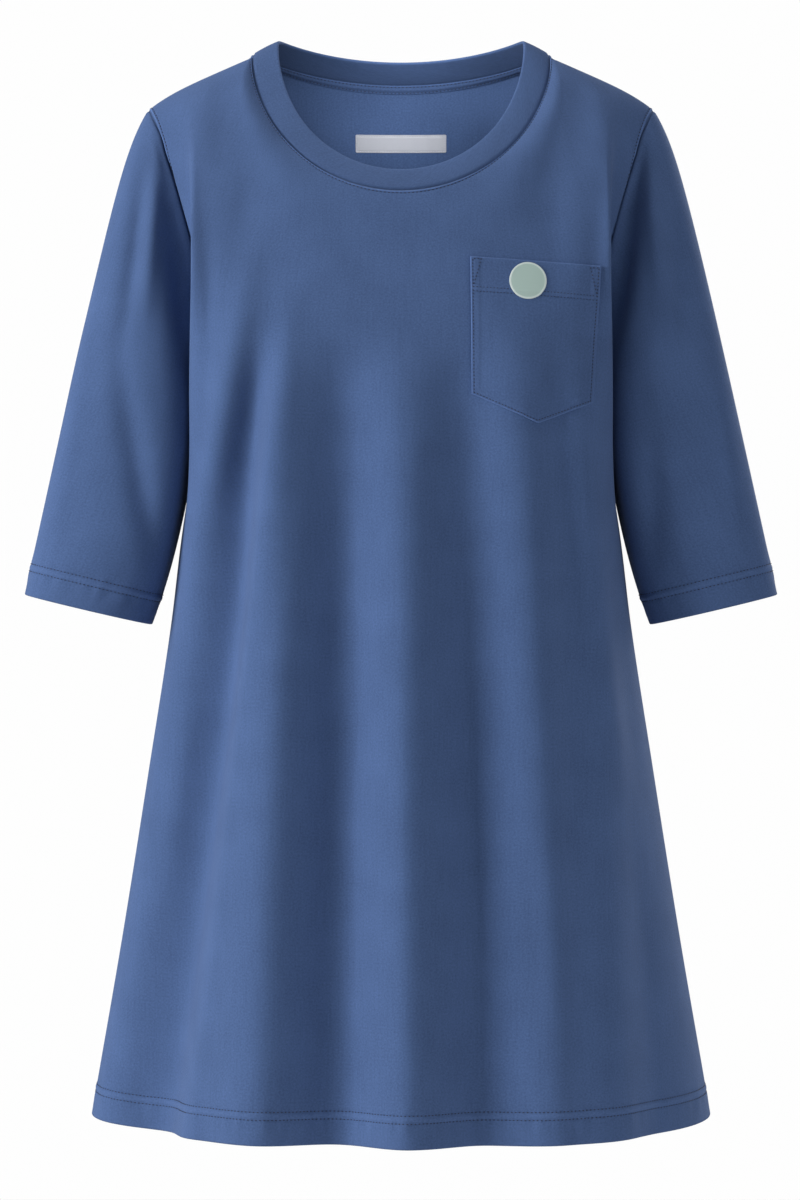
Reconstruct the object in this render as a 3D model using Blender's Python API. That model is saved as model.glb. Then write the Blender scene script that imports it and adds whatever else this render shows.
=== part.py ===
"""A nursing shirt: an A-line jersey tunic with set-in sleeves, a round neckband and a chest pocket.

It keeps the hollow form it has when worn. Metres, +Z up. The front faces -Y and the wearer's left is +X.
The origin lies midway between the two points where the shoulder seams meet the neckband.
"""

import math

import bmesh
import bpy
import numpy as np
from mathutils import Vector
from mathutils.bvhtree import BVHTree

FRONT, BACK = -1, 1  # the sign of Y on each side of the shoulder seams
LEFT, RIGHT = 1, -1  # the sign of X on the wearer's left and right

# Cloth and sewing
WALL = 0.0012  # one layer of jersey
HEM_WALL = 0.0024  # the turned hem is two layers
SEAM_GAP = 0.0003
FOLDED_SEAM = 0.7  # two pieces share a normal fully where the cosine between theirs is at least this
FOLDED_TUCK = 0.0006  # how far each drawn back edge sinks where they fold onto each other
HEM_DEPTH = 0.028
HEM_STEP = 0.0012  # the ledge where the turned layer ends

# Body, measured down from the high shoulder point
HEM_HEIGHT = -0.897
UNDERARM_HEIGHT = -0.245
UNDERARM_HALF_WIDTH = 0.160
SHOULDER_HALF_WIDTH = 0.2150
SHOULDER_SLOPE_DROP = 0.0390
SHOULDER_TIP_DROP = 0.0065
ARMHOLE_BULGE = {FRONT: 0.140, BACK: 0.200}  # pull of the armhole curve to the front and back
ARMHOLE_SCOOP = {FRONT: 0.008, BACK: 0.004}
ARMHOLE_REACH = 0.45  # the share of the way from the side seam that the armhole steers
NECK_LEAN = {FRONT: 0.46, BACK: 0.58}  # how far the cloth leans in where it reaches the neckline
NECK_PULL, SHOULDER_PULL = 0.70, 0.60  # how fully the cloth rounds into the neckline and over the shoulder
SHOULDER_PITCH = 0.35  # how steeply it comes up to the shoulder seam beside the neck
SHOULDER_SPLAY = 0.7  # how far its columns lean in towards the neck there
SPLAY_REACH = 0.20  # the share of the columns over which that lean dies away
CORNER_REACH = 0.10  # the share over which the cloth rounds off the corner of neckline and shoulder
CORNER_STEPS = 9  # how many places along the edge are averaged for it
CORNER_CRISPNESS = 7  # how near the edge the cloth turns into that corner
ARM_DENT_REACH = 0.048  # how far the hollow beside the arm reaches from the side seam
ARM_DENT_EDGE = 4  # how crisply it ends

# height, half_width, front_depth, back_depth, squareness, arm_dent
BODY_SECTIONS = (
    (-0.897, 0.2625, 0.1660, 0.1560, 2.00, 0.0000),
    (-0.750, 0.2370, 0.1540, 0.1450, 2.05, 0.0000),
    (-0.600, 0.2130, 0.1430, 0.1330, 2.15, 0.0000),
    (-0.480, 0.1945, 0.1330, 0.1230, 2.30, 0.0000),
    (-0.400, 0.1885, 0.1250, 0.1160, 2.45, 0.0040),
    (-0.340, 0.1880, 0.1190, 0.1110, 2.65, 0.0140),
    (-0.290, 0.1890, 0.1140, 0.1070, 2.85, 0.0240),
    (-0.245, 0.1890, 0.1090, 0.1040, 3.00, 0.0290),
)

# Neck
NECK_HALF_WIDTH = 0.1265
NECK_FRONT_DEPTH, NECK_BACK_DEPTH = 0.083, 0.078
NECK_FRONT_DROP, NECK_BACK_DROP = 0.124, 0.017
NECK_SOFTNESS = 0.12  # how gently the neckline turns from front to back at the shoulder
NECK_SHARE = 0.52  # the share of a panel's columns that end at the neckline

# Neckband: its fold edge, as the seam line is given above
BAND_WALL = 0.0026
BAND_HALF_WIDTH = 0.1045
BAND_FRONT_DEPTH, BAND_BACK_DEPTH = 0.069, 0.060
BAND_RISE = {"front": 0.0190, "side": 0.0107, "back": 0.0163}

# Sleeves: the inner line runs from the underarm and the outer line from the shoulder tip
CUFF_INNER = (0.2108, -0.4825)
CUFF_OUTER = (0.3178, -0.4570)
INNER_BOW = 0.0058  # the inner line hangs in towards the body between its ends
SHOULDER_ROUNDING = 0.0118
SHOULDER_ROUNDING_LENGTH = 0.07  # as a share of the sleeve
SCOOP_FADE = 6  # how soon the armhole's scoop is gone down the sleeve
SLEEVE_LENGTH = 0.34
# A skew below one brings the fullest place nearer the body, and a flatness below one squares the round.
# along, front_depth, back_depth, forward, skew, flatness
SLEEVE_SECTIONS = (
    (0.00, 0.0350, 0.0500, 0.0000, 1.00, 1.00),
    (0.15, 0.0520, 0.0560, 0.0000, 1.00, 0.90),
    (0.40, 0.0560, 0.0560, 0.0030, 0.80, 0.62),
    (0.70, 0.0500, 0.0500, 0.0080, 0.86, 0.66),
    (1.00, 0.0430, 0.0430, 0.0120, 1.00, 0.85),
)

# Soft folds of the body: a lift of the cloth, below zero in a trough
# x_top, x_hem, half_width_top, half_width_hem, lift_hem
FRONT_FOLDS = (
    (-0.1090, -0.2200, 0.024, 0.054, -0.036),
    (-0.0880, -0.1157, 0.040, 0.060, 0.015),
    (-0.0450, -0.0545, 0.044, 0.064, -0.024),
    (0.0024, 0.0102, 0.048, 0.066, 0.018),
    (0.0510, 0.0600, 0.045, 0.066, -0.014),
    (0.0914, 0.1250, 0.042, 0.070, 0.018),
    (0.1460, 0.1720, 0.026, 0.042, 0.013),
)
BACK_FOLDS = (
    (-0.1120, -0.1950, 0.022, 0.044, -0.022),
    (-0.0900, -0.1400, 0.040, 0.060, 0.014),
    (-0.0520, -0.0900, 0.042, 0.058, -0.018),
    (-0.0080, -0.0300, 0.045, 0.060, 0.018),
    (0.0380, 0.0330, 0.044, 0.060, -0.021),
    (0.0860, 0.0960, 0.044, 0.064, 0.020),
    (0.1180, 0.1850, 0.024, 0.046, -0.020),
)
FOLDS_START, FOLDS_END = -0.215, -0.897
FOLDS_GROWTH = 0.20  # the height over which the folds come to most of their depth
FOLDS_SOFT_START = 0.07
FOLDS_SIDE_CALM = 0.20  # the share of a panel, beside each side seam, where the folds die away

# How finely each piece is divided
PROBE = 0.002  # a short step along the cloth, for finding its direction
NECK_COLUMNS, SHOULDER_COLUMNS = 16, 8
SKIRT_ROWS, YOKE_ROWS = 13, 13
SLEEVE_ROWS = 11
BAND_ROWS = 3
SETTLE_STEPS, SETTLE_ROUNDS = 5, 4  # how closely and how often a laid piece is compared with what carries it
SHARP_EDGE = 50  # degrees

# Chest pocket, seen from the front: corners as (x, z)
POCKET_TOP_INNER, POCKET_TOP_OUTER = (0.0565, -0.1812), (0.1645, -0.1873)
POCKET_LOW_INNER, POCKET_LOW_OUTER = (0.0575, -0.2942), (0.1568, -0.3002)
POCKET_POINT = (0.1110, -0.3182)
POCKET_HEM = 0.028
POCKET_COLUMNS, POCKET_ROWS = 10, 11
POCKET_FULLNESS = 0.0016  # how far the middle of the pocket stands off the chest

# Small trim
BADGE_CENTRE, BADGE_RADIUS, BADGE_WALL = (0.1036, -0.2008), 0.0153, 0.0010
BADGE_STEPS = 6
LABEL_HALF_WIDTH, LABEL_TOP, LABEL_FOOT, LABEL_WALL = 0.0400, -0.0520, -0.0675, 0.0010
LABEL_COLUMNS, LABEL_ROWS = 8, 2
TAPE_WIDTH, TAPE_WALL = 0.0080, 0.0010
TAPE_INSET = 2  # columns left bare at each end of the back neckline
BEFORE_CHEST, INSIDE_BODY = -1.0, 0.0  # where a laid piece is seen from: in front, and inside the body

BLUE_JERSEY = ("blue_jersey", (0.066, 0.116, 0.258), 0.92)
SAGE_TRANSFER = ("sage_transfer", (0.45, 0.56, 0.53), 0.55)
PALE_LABEL = ("pale_label", (0.62, 0.64, 0.72), 0.60)


def clear_scene():
    for old in list(bpy.data.objects):
        bpy.data.objects.remove(old)


def ease(share):
    """0 to 1 with level ends."""
    share = np.clip(share, 0.0, 1.0)
    return share * share * (3.0 - 2.0 * share)


def through(at, places, values):
    """A smooth curve through the values at rising places."""
    places, values = np.asarray(places, float), np.asarray(values, float)
    slopes = np.gradient(values, places)
    k = np.clip(np.searchsorted(places, at) - 1, 0, len(places) - 2)
    step = places[k + 1] - places[k]
    t = (np.asarray(at, float) - places[k]) / step
    return (
        (2 * t**3 - 3 * t**2 + 1) * values[k]
        + (t**3 - 2 * t**2 + t) * step * slopes[k]
        + (3 * t**2 - 2 * t**3) * values[k + 1]
        + (t**3 - t**2) * step * slopes[k + 1]
    )


def section(height):
    """half_width, front_depth, back_depth, squareness and arm_dent at a height."""
    table = np.array(BODY_SECTIONS)
    return [through(height, table[:, 0], table[:, c]) for c in range(1, 6)]


def body_ring(q, height, side):
    """The body below the underarm. q is -1 to 1 from seam to seam, and 0 at the centre."""
    half_width, front, back, squareness, dent = section(height)
    depth = front if side == FRONT else back
    angle = q * math.pi / 2
    sine, cosine = np.abs(np.sin(angle)), np.abs(np.cos(angle))
    radius = ((sine / half_width) ** squareness + (cosine / depth) ** squareness) ** (-1 / squareness)
    y = side * radius * cosine
    x = radius * sine - dent * np.exp(-((np.abs(y) / ARM_DENT_REACH) ** ARM_DENT_EDGE))
    return np.stack([np.sign(q) * x, y, height + 0 * x], axis=-1)


def neck_soft(c):
    return (c + np.sqrt(c * c + NECK_SOFTNESS**2)) / 2


def neck_seam(angle):
    """The line where the neckband is sewn on. angle is 0 at the centre front and pi at the centre back."""
    c = np.cos(angle)
    level = neck_soft(np.zeros(1))[0]
    drop = NECK_FRONT_DROP / (neck_soft(np.ones(1))[0] - level)
    x = NECK_HALF_WIDTH * np.sin(angle)
    y = -np.where(c > 0, NECK_FRONT_DEPTH, NECK_BACK_DEPTH) * c
    z = -drop * (neck_soft(c) - level) - NECK_BACK_DROP * np.maximum(0, -c) ** 2
    return np.stack([x, y, z], axis=-1)


def shoulder_seam(share, hand):
    """From the neckband, 0, to the sleeve, 1."""
    x = NECK_HALF_WIDTH + (SHOULDER_HALF_WIDTH - NECK_HALF_WIDTH) * share
    z = -(SHOULDER_SLOPE_DROP * share + SHOULDER_TIP_DROP * share**5)
    return np.stack([hand * x, 0 * x, z], axis=-1)


def top_edge(q, side):
    """Where each column of a panel ends: at the neckline, then along the shoulder seam."""
    turn = np.clip(q / NECK_SHARE, -1, 1) * math.pi / 2
    neck = neck_seam(turn if side == FRONT else math.pi - turn)
    share = np.clip((np.abs(q) - NECK_SHARE) / (1 - NECK_SHARE), 0, 1)
    shoulder = shoulder_seam(share, np.sign(q))
    return np.where((np.abs(q) <= NECK_SHARE)[:, None], neck, shoulder)


def rounded_top_edge(q, side):
    """The top edge without its corners, which the cloth below it follows."""
    steps = np.linspace(-1, 1, CORNER_STEPS)
    weights = 1 + np.cos(math.pi * steps)
    room = ease((1 - np.abs(q)) / (1 - NECK_SHARE))
    edges = [weight * top_edge(q + CORNER_REACH * step * room, side) for step, weight in zip(steps, weights)]
    return sum(edges) / weights.sum()


def hermite(v, start, start_pull, end, end_pull):
    return (
        (2 * v**3 - 3 * v**2 + 1) * start
        + (v**3 - 2 * v**2 + v) * start_pull
        + (3 * v**2 - 2 * v**3) * end
        + (v**3 - v**2) * end_pull
    )


def unit(vectors):
    return vectors / np.maximum(np.linalg.norm(vectors, axis=-1, keepdims=True), 1e-12)


def yoke(q, v, side):
    """The panel above the underarm: v is 0 there and 1 at the neckline and shoulder seam."""
    start, end = body_ring(q, UNDERARM_HEIGHT, side), rounded_top_edge(q, side)
    span = np.linalg.norm(end - start, axis=-1, keepdims=True)
    below = body_ring(q, UNDERARM_HEIGHT - PROBE, side)
    to_armhole = ease((np.abs(q) - 1 + ARMHOLE_REACH) / ARMHOLE_REACH)[:, None]
    forward = np.array([0.0, side, 0.0])
    start_pull = unit((1 - to_armhole) * unit(start - below) + to_armhole * forward) * span
    start_pull[np.abs(q) >= 1] = ARMHOLE_BULGE[side] * forward
    neck_zone = ease(1 - np.abs(q) / NECK_SHARE)[:, None]
    outward = np.clip((np.abs(q) - NECK_SHARE) / (1 - NECK_SHARE), 0, 1)
    splay = np.exp(-(((np.abs(q) - NECK_SHARE) / SPLAY_REACH) ** 2))
    slope = SHOULDER_SLOPE_DROP / (SHOULDER_HALF_WIDTH - NECK_HALF_WIDTH)
    climb = SHOULDER_SPLAY * slope * splay + SHOULDER_PITCH * (1 - ease(outward))
    rising = unit(np.array([0.0, -side * NECK_LEAN[side], 1.0]))
    over = np.stack([-SHOULDER_SPLAY * np.sign(q) * splay, np.full_like(q, -side), climb], axis=-1)
    end_pull = unit(neck_zone * rising + (1 - neck_zone) * unit(over))
    end_pull = end_pull * span * (NECK_PULL * neck_zone + SHOULDER_PULL * (1 - neck_zone))
    end_pull[np.abs(q) >= 1] = -ARMHOLE_BULGE[side] * forward
    t = v[:, None, None]
    points = hermite(t, start, start_pull, end, end_pull)
    points = points + t**CORNER_CRISPNESS * (top_edge(q, side) - end)
    scoop = ARMHOLE_SCOOP[side] * np.sin(math.pi * v)[:, None] * to_armhole[None, :, 0]
    points[..., 0] -= np.sign(q)[None] * scoop
    return points


def armhole(share, side):
    """The armhole from the underarm, 0, to the shoulder tip, 1, on the wearer's left."""
    return yoke(np.array([1.0]), share, side)[:, 0]


def grid_normals(points, closed, outward):
    """Unit normals of a grid of points, turned to the outward side."""
    along = np.gradient(points, axis=0)
    if closed:
        around = np.roll(points, -1, axis=1) - np.roll(points, 1, axis=1)
    else:
        around = np.gradient(points, axis=1)
    return outward * unit(np.cross(around, along))


def fold_lift(points, folds):
    """How far the folds lift the cloth at each point."""
    height = points[..., 2]
    down = np.clip((FOLDS_START - height) / (FOLDS_START - FOLDS_END), 0, 1)
    below = FOLDS_START - height
    grown = (1 - np.exp(-below / FOLDS_GROWTH)) * ease(below / FOLDS_SOFT_START)
    lift = np.zeros_like(height)
    for x_top, x_hem, half_top, half_hem, lift_hem in folds:
        off = (points[..., 0] - (x_top + (x_hem - x_top) * down)) / (half_top + (half_hem - half_top) * down)
        lift += lift_hem * np.where(np.abs(off) < 1, 0.5 + 0.5 * np.cos(math.pi * np.clip(off, -1, 1)), 0)
    return lift * np.where(height < FOLDS_START, grown, 0)


def panel_columns():
    """q of every column, shared by front and back, so that their seams match."""
    neck = np.linspace(-NECK_SHARE, NECK_SHARE, NECK_COLUMNS + 1)
    shoulder = np.linspace(NECK_SHARE, 1, SHOULDER_COLUMNS + 1)[1:]
    return np.concatenate([-shoulder[::-1], neck, shoulder])


def skirt_heights():
    """Rows from the hem to the underarm. The first three hold the turned hem and its ledge."""
    hem = [HEM_HEIGHT, HEM_HEIGHT + HEM_DEPTH, HEM_HEIGHT + HEM_DEPTH + HEM_STEP]
    return np.concatenate([hem, np.linspace(hem[-1], UNDERARM_HEIGHT, SKIRT_ROWS + 1)[1:]])


def panel(side):
    """The outer points of the front or back panel, in rows from the hem up, and their normals."""
    q, heights = panel_columns(), skirt_heights()
    skirt = np.stack([body_ring(q, h, side) for h in heights])
    top = yoke(q, np.linspace(0, 1, YOKE_ROWS + 1)[1:], side)
    points = np.concatenate([skirt, top])
    to_side_seam = 1 - ease((np.abs(q) - 1 + FOLDS_SIDE_CALM) / FOLDS_SIDE_CALM)
    folds = FRONT_FOLDS if side == FRONT else BACK_FOLDS
    lift = fold_lift(points, folds) * to_side_seam[None]
    points = points + lift[..., None] * grid_normals(points, False, -side)
    return points, grid_normals(points, False, -side)


def into_piece(points, normals, edge, beside, closed=False):
    """The way into a piece from an edge: along the cloth and square to the edge, longer at a corner."""
    line = points[edge]
    after = unit(np.roll(line, -1, axis=0) - line)
    before = np.roll(after, 1, axis=0)
    if not closed:
        after[-1] = before[-1]
        before[0] = after[0]
    run = (before + after) / 2
    way = unit(np.cross(normals[edge], run)) / np.linalg.norm(run, axis=-1, keepdims=True)
    forward = ((points[beside] - line) * way).sum(-1, keepdims=True)
    return way * np.where(forward < 0, -1, 1)


def open_seam(points, normals, edge, beside, closed=False, back=SEAM_GAP / 2):
    """Draws an edge back from the seam line."""
    points[edge] += into_piece(points, normals, edge, beside, closed) * back


def material_of(finish):
    name, colour, roughness = finish
    made = bpy.data.materials.get(name) or bpy.data.materials.new(name)
    made.use_nodes = True
    shader = made.node_tree.nodes["Principled BSDF"]
    shader.inputs["Base Color"].default_value = (*colour, 1.0)
    shader.inputs["Roughness"].default_value = roughness
    shader.inputs["Metallic"].default_value = 0.0
    return made


def wall(name, outer, inner, closed, finish):
    """One closed solid between two grids of points. A closed grid joins its last column to its first."""
    rows, columns = outer.shape[:2]
    mesh = bmesh.new()
    sheets = [[[mesh.verts.new(p) for p in row] for row in grid] for grid in (outer, inner)]
    last = columns if closed else columns - 1
    for sheet in sheets:
        for i in range(rows - 1):
            for j in range(last):
                k = (j + 1) % columns
                mesh.faces.new((sheet[i][j], sheet[i][k], sheet[i + 1][k], sheet[i + 1][j]))
    rims = [[(i, j) for j in range(columns)] + ([(i, 0)] if closed else []) for i in (0, rows - 1)]
    if not closed:
        rims += [[(i, j) for i in range(rows)] for j in (0, columns - 1)]
    for rim in rims:
        for (a, b), (c, d) in zip(rim, rim[1:]):
            mesh.faces.new((sheets[0][a][b], sheets[0][c][d], sheets[1][c][d], sheets[1][a][b]))
    bmesh.ops.recalc_face_normals(mesh, faces=mesh.faces)
    return finish_object(name, mesh, finish)


def finish_object(name, mesh, finish):
    data = bpy.data.meshes.new(name)
    mesh.to_mesh(data)
    mesh.free()
    data.shade_smooth()
    data.set_sharp_from_angle(angle=math.radians(SHARP_EDGE))
    made = bpy.data.objects.new(name, data)
    bpy.context.scene.collection.objects.link(made)
    data.materials.append(material_of(finish))
    return made


def hem_thickness(rows, turned_rows):
    """The wall of each row: two layers on the turned hem, one above it."""
    return np.where(np.arange(rows) < turned_rows, HEM_WALL, WALL)[:, None, None]


def sleeve_lines(along):
    """The inner and outer lines of the sleeve, as (x, z) at each share of its length."""
    tip = shoulder_seam(np.array([1.0]), LEFT)[0]
    inner_x = UNDERARM_HALF_WIDTH + (CUFF_INNER[0] - UNDERARM_HALF_WIDTH) * along
    cubic_peak = 4 / 27
    inner_x = inner_x - INNER_BOW * along**2 * (1 - along) / cubic_peak
    inner_z = UNDERARM_HEIGHT + (CUFF_INNER[1] - UNDERARM_HEIGHT) * along
    rounding = SHOULDER_ROUNDING * (1 - np.exp(-along / SHOULDER_ROUNDING_LENGTH) - along)
    outer_x = tip[0] + (CUFF_OUTER[0] - tip[0]) * along + rounding
    outer_z = tip[2] + (CUFF_OUTER[1] - tip[2]) * along
    return inner_x, inner_z, outer_x, outer_z


def sleeve():
    """The outer points of the wearer's left sleeve, in rows from the cuff up to the armhole."""
    hem_share = HEM_DEPTH / SLEEVE_LENGTH
    step_share = HEM_STEP / SLEEVE_LENGTH
    along = np.concatenate([[1.0, 1 - hem_share, 1 - hem_share - step_share],
                            np.linspace(1 - hem_share - step_share, 0, SLEEVE_ROWS + 1)[1:]])
    inner_x, inner_z, outer_x, outer_z = sleeve_lines(along)
    table = np.array(SLEEVE_SECTIONS)
    columns = [through(along, table[:, 0], table[:, c])[:, None] for c in range(1, 6)]
    front_depth, back_depth, forward, skew, flatness = columns
    share = np.linspace(0, 1, YOKE_ROWS + 1)
    halves = []
    for side, depth, s in ((FRONT, front_depth, share), (BACK, back_depth, share[::-1][1:-1])):
        scoop = ARMHOLE_SCOOP[side] * np.sin(math.pi * s)[None] * ((1 - along) ** SCOOP_FADE)[:, None]
        x = inner_x[:, None] + (outer_x - inner_x)[:, None] * ease(s) - scoop
        z = inner_z[:, None] + (outer_z - inner_z)[:, None] * ease(s)
        fullness = s**skew
        y = side * depth * np.maximum(4 * fullness * (1 - fullness), 0) ** flatness - forward
        halves.append(np.stack([x, y, z], axis=-1))
    points = np.concatenate(halves, axis=1)
    points[-1] = np.concatenate([armhole(share, FRONT), armhole(share[::-1][1:-1], BACK)])
    return points


def meet(*edges):
    """Gives pieces one normal along the seam where they meet. An edge is a grid of normals and an index."""
    common = unit(sum(normals[where] for normals, where in edges))
    for normals, where in edges:
        normals[where] = common


def meet_softly(first, second):
    """As meet, but where two pieces fold onto each other, as under the arm, each keeps its own normal.

    There the gap between them opens along the normals. An edge here is the points, the normals and an index.
    """
    (points_a, normals_a, at_a), (points_b, normals_b, at_b) = first, second
    a, b = normals_a[at_a], normals_b[at_b]
    agree = ease((a * b).sum(-1, keepdims=True) / FOLDED_SEAM)
    common = unit(a + b)
    for points, normals, where, own in ((points_a, normals_a, at_a, a), (points_b, normals_b, at_b, b)):
        normals[where] = unit((1 - agree) * own + agree * common)
        points[where] -= (1 - agree) * FOLDED_TUCK * own


def neckband():
    """The outer points of the neckband, in rings from the neck seam up to its fold edge."""
    turn = np.linspace(-math.pi / 2, math.pi / 2, NECK_COLUMNS + 1)
    angle = np.concatenate([turn, math.pi - turn[::-1][1:-1]])
    seam = neck_seam(angle)
    c, s = np.cos(angle), np.sin(angle)
    rise = np.where(c > 0, BAND_RISE["front"], BAND_RISE["back"]) * c**2 + BAND_RISE["side"] * s**2
    depth = np.where(c > 0, BAND_FRONT_DEPTH, BAND_BACK_DEPTH)
    edge = np.stack([BAND_HALF_WIDTH * s, -depth * c, seam[:, 2] + rise], axis=-1)
    across = np.linspace(0, 1, BAND_ROWS + 1)[:, None, None]
    points = seam[None] + (edge - seam)[None] * across
    return points, grid_normals(points, True, 1)


def build_cloth():
    """The two panels, the sleeves and the neckband, whose walls meet square at their seams."""
    front, front_normals = panel(FRONT)
    back, back_normals = panel(BACK)
    arm = sleeve()
    arm_normals = grid_normals(arm, True, 1)
    band, band_normals = neckband()

    columns = panel_columns()
    skirt = slice(0, len(skirt_heights()))
    for edge in (0, -1):
        meet((front_normals, (skirt, edge)), (back_normals, (skirt, edge)))
    beyond_neck = np.abs(columns) > NECK_SHARE + 1e-9
    meet((front_normals, (-1, beyond_neck)), (back_normals, (-1, beyond_neck)))
    neck = np.arange(SHOULDER_COLUMNS, SHOULDER_COLUMNS + NECK_COLUMNS + 1)
    ring = np.arange(NECK_COLUMNS + 1)
    back_ring = (2 * NECK_COLUMNS - ring) % (2 * NECK_COLUMNS)
    meet((front_normals, (-1, neck[1:-1])), (band_normals, (0, ring[1:-1])))
    meet((back_normals, (-1, neck[1:-1])), (band_normals, (0, back_ring[1:-1])))
    for end in (0, -1):
        corner = (-1, neck[end])
        meet((front_normals, corner), (back_normals, corner), (band_normals, (0, ring[end])))

    above = slice(len(skirt_heights()) - 1, len(skirt_heights()) + YOKE_ROWS)
    up = np.arange(YOKE_ROWS + 1)
    for points, normals, around in ((front, front_normals, up), (back, back_normals, -up % (2 * YOKE_ROWS))):
        meet_softly((points, normals, (above, -1)), (arm, arm_normals, (-1, around)))
        points[above, 0] = points[above, -1] * [-1, 1, 1]
        normals[above, 0] = normals[above, -1] * [-1, 1, 1]

    for points, normals in ((front, front_normals), (back, back_normals)):
        open_seam(points, normals, (slice(None), 0), (slice(None), 1))
        open_seam(points, normals, (slice(None), -1), (slice(None), -2))
        open_seam(points, normals, (-1, slice(None)), (-2, slice(None)))
    open_seam(arm, arm_normals, (-1, slice(None)), (-2, slice(None)), closed=True)
    open_seam(band, band_normals, (0, slice(None)), (1, slice(None)), closed=True, back=SEAM_GAP)

    front_inner = front - hem_thickness(len(front), 2) * front_normals
    back_inner = back - hem_thickness(len(back), 2) * back_normals
    arm_inner = arm - hem_thickness(len(arm), 2) * arm_normals
    band_inner = band - BAND_WALL * band_normals
    wall("neckband", band, band_inner, True, BLUE_JERSEY)
    for name, hand in (("sleeve_left", LEFT), ("sleeve_right", RIGHT)):
        wall(name, arm * [hand, 1, 1], arm_inner * [hand, 1, 1], True, BLUE_JERSEY)
    front_panel = wall("front_panel", front, front_inner, False, BLUE_JERSEY)
    back_panel = wall("back_panel", back, back_inner, False, BLUE_JERSEY)

    span = neck[TAPE_INSET:-TAPE_INSET]
    taped = (-1, span)
    upper = back_inner[taped]
    lower = upper + into_piece(back_inner, back_normals, taped, (-2, span)) * TAPE_WIDTH
    build_neck_tape(surface_of(back_panel), np.stack([lower, upper]), back_normals[taped])
    return surface_of(front_panel), surface_of(back_panel)


def surface_of(thing):
    """The faces of a finished piece, for laying another piece on it."""
    mesh = bmesh.new()
    mesh.from_mesh(thing.data)
    bmesh.ops.triangulate(mesh, faces=mesh.faces)
    tree = BVHTree.FromBMesh(mesh)
    mesh.free()
    return tree


def settle(surface, points, way):
    """Moves a grid of points along way until the whole sheet between them is a seam gap off the surface."""
    steps = np.linspace(0, 1, SETTLE_STEPS)
    for _ in range(SETTLE_ROUNDS):
        rise = np.zeros(points.shape[:2])
        for i in range(points.shape[0] - 1):
            for j in range(points.shape[1] - 1):
                corners = points[i:i + 2, j:j + 2]
                for a in steps:
                    for b in steps:
                        line = corners[0] * (1 - a) + corners[1] * a
                        at = line[0] * (1 - b) + line[1] * b
                        spot, normal, _, _ = surface.find_nearest(Vector(at))
                        short = SEAM_GAP - np.dot(at - np.array(spot), np.array(normal))
                        rise[i:i + 2, j:j + 2] = np.maximum(rise[i:i + 2, j:j + 2], short)
        points = points + rise[..., None] * way
    return points


def lay(name, surface, places, start, thickness, fullness, finish):
    """A flat piece laid on the surface that is seen from start along +Y. places is a grid of (x, z)."""
    points = np.array([[surface.ray_cast(Vector((x, start, z)), Vector((0, 1, 0)))[0] for x, z in row]
                       for row in places])
    way = grid_normals(points, False, 1)
    way *= -np.sign(way[..., 1:2])
    rows, columns = points.shape[:2]
    swell = (1 - np.linspace(-1, 1, rows)[:, None] ** 2) * (1 - np.linspace(-1, 1, columns)[None] ** 2)
    inner = settle(surface, points + SEAM_GAP * way, way) + fullness * swell[..., None] * way
    return wall(name, inner + thickness * way, inner, False, finish)


def build_neck_tape(surface, points, normals):
    """The strip that covers the neck seam inside the back."""
    inwards = np.stack([-normals, -normals])
    inner = settle(surface, points + SEAM_GAP * inwards, inwards)
    wall("neck_tape", inner + TAPE_WALL * inwards, inner, False, BLUE_JERSEY)


def build_pocket(chest):
    """The patch pocket, with its turned top edge and pointed foot."""
    inner_top, outer_top = np.array(POCKET_TOP_INNER), np.array(POCKET_TOP_OUTER)
    across = np.linspace(0, 1, POCKET_COLUMNS + 1)[:, None]
    top = inner_top + (outer_top - inner_top) * across
    half = across[:POCKET_COLUMNS // 2 + 1] * 2
    foot_inner = np.array(POCKET_LOW_INNER) + (np.array(POCKET_POINT) - POCKET_LOW_INNER) * half
    foot_outer = np.array(POCKET_POINT) + (np.array(POCKET_LOW_OUTER) - POCKET_POINT) * half[1:]
    foot = np.concatenate([foot_inner, foot_outer])
    turned = 1 - POCKET_HEM / (inner_top[1] - POCKET_LOW_INNER[1])
    step = HEM_STEP / (inner_top[1] - POCKET_LOW_INNER[1])
    up = np.concatenate([np.linspace(0, turned - step, POCKET_ROWS - 2), [turned, (1 + turned) / 2, 1]])
    places = foot[None] + (top - foot)[None] * up[:, None, None]
    thickness = np.where(up >= turned, HEM_WALL, WALL)[:, None, None]
    pocket = lay("chest_pocket", chest, places, BEFORE_CHEST, thickness, POCKET_FULLNESS, BLUE_JERSEY)
    return surface_of(pocket)


def build_badge(pocket):
    """A round transfer on the pocket, laid out as a square grid drawn into a circle."""
    side = np.linspace(-1, 1, BADGE_STEPS + 1)
    u, v = np.meshgrid(side, side)
    x = u * np.sqrt(1 - v * v / 2)
    z = v * np.sqrt(1 - u * u / 2)
    places = np.stack([BADGE_CENTRE[0] + BADGE_RADIUS * x, BADGE_CENTRE[1] + BADGE_RADIUS * z], axis=-1)
    lay("pocket_badge", pocket, places, BEFORE_CHEST, BADGE_WALL, 0.0, SAGE_TRANSFER)


def build_name_label(back):
    """The blank strip sewn inside the back, below the neckline."""
    x = np.linspace(-LABEL_HALF_WIDTH, LABEL_HALF_WIDTH, LABEL_COLUMNS + 1)
    z = np.linspace(LABEL_FOOT, LABEL_TOP, LABEL_ROWS + 1)
    places = np.stack(np.meshgrid(x, z), axis=-1)
    lay("name_label", back, places, INSIDE_BODY, LABEL_WALL, 0.0, PALE_LABEL)


def main():
    clear_scene()
    chest, back = build_cloth()
    pocket = build_pocket(chest)
    build_badge(pocket)
    build_name_label(back)


main()
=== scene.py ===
"""A nursing shirt in brushed blue jersey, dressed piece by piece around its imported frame.

Metres, +Z up. The front faces -Y and the wearer's left is +X.
"""

import math

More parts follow.
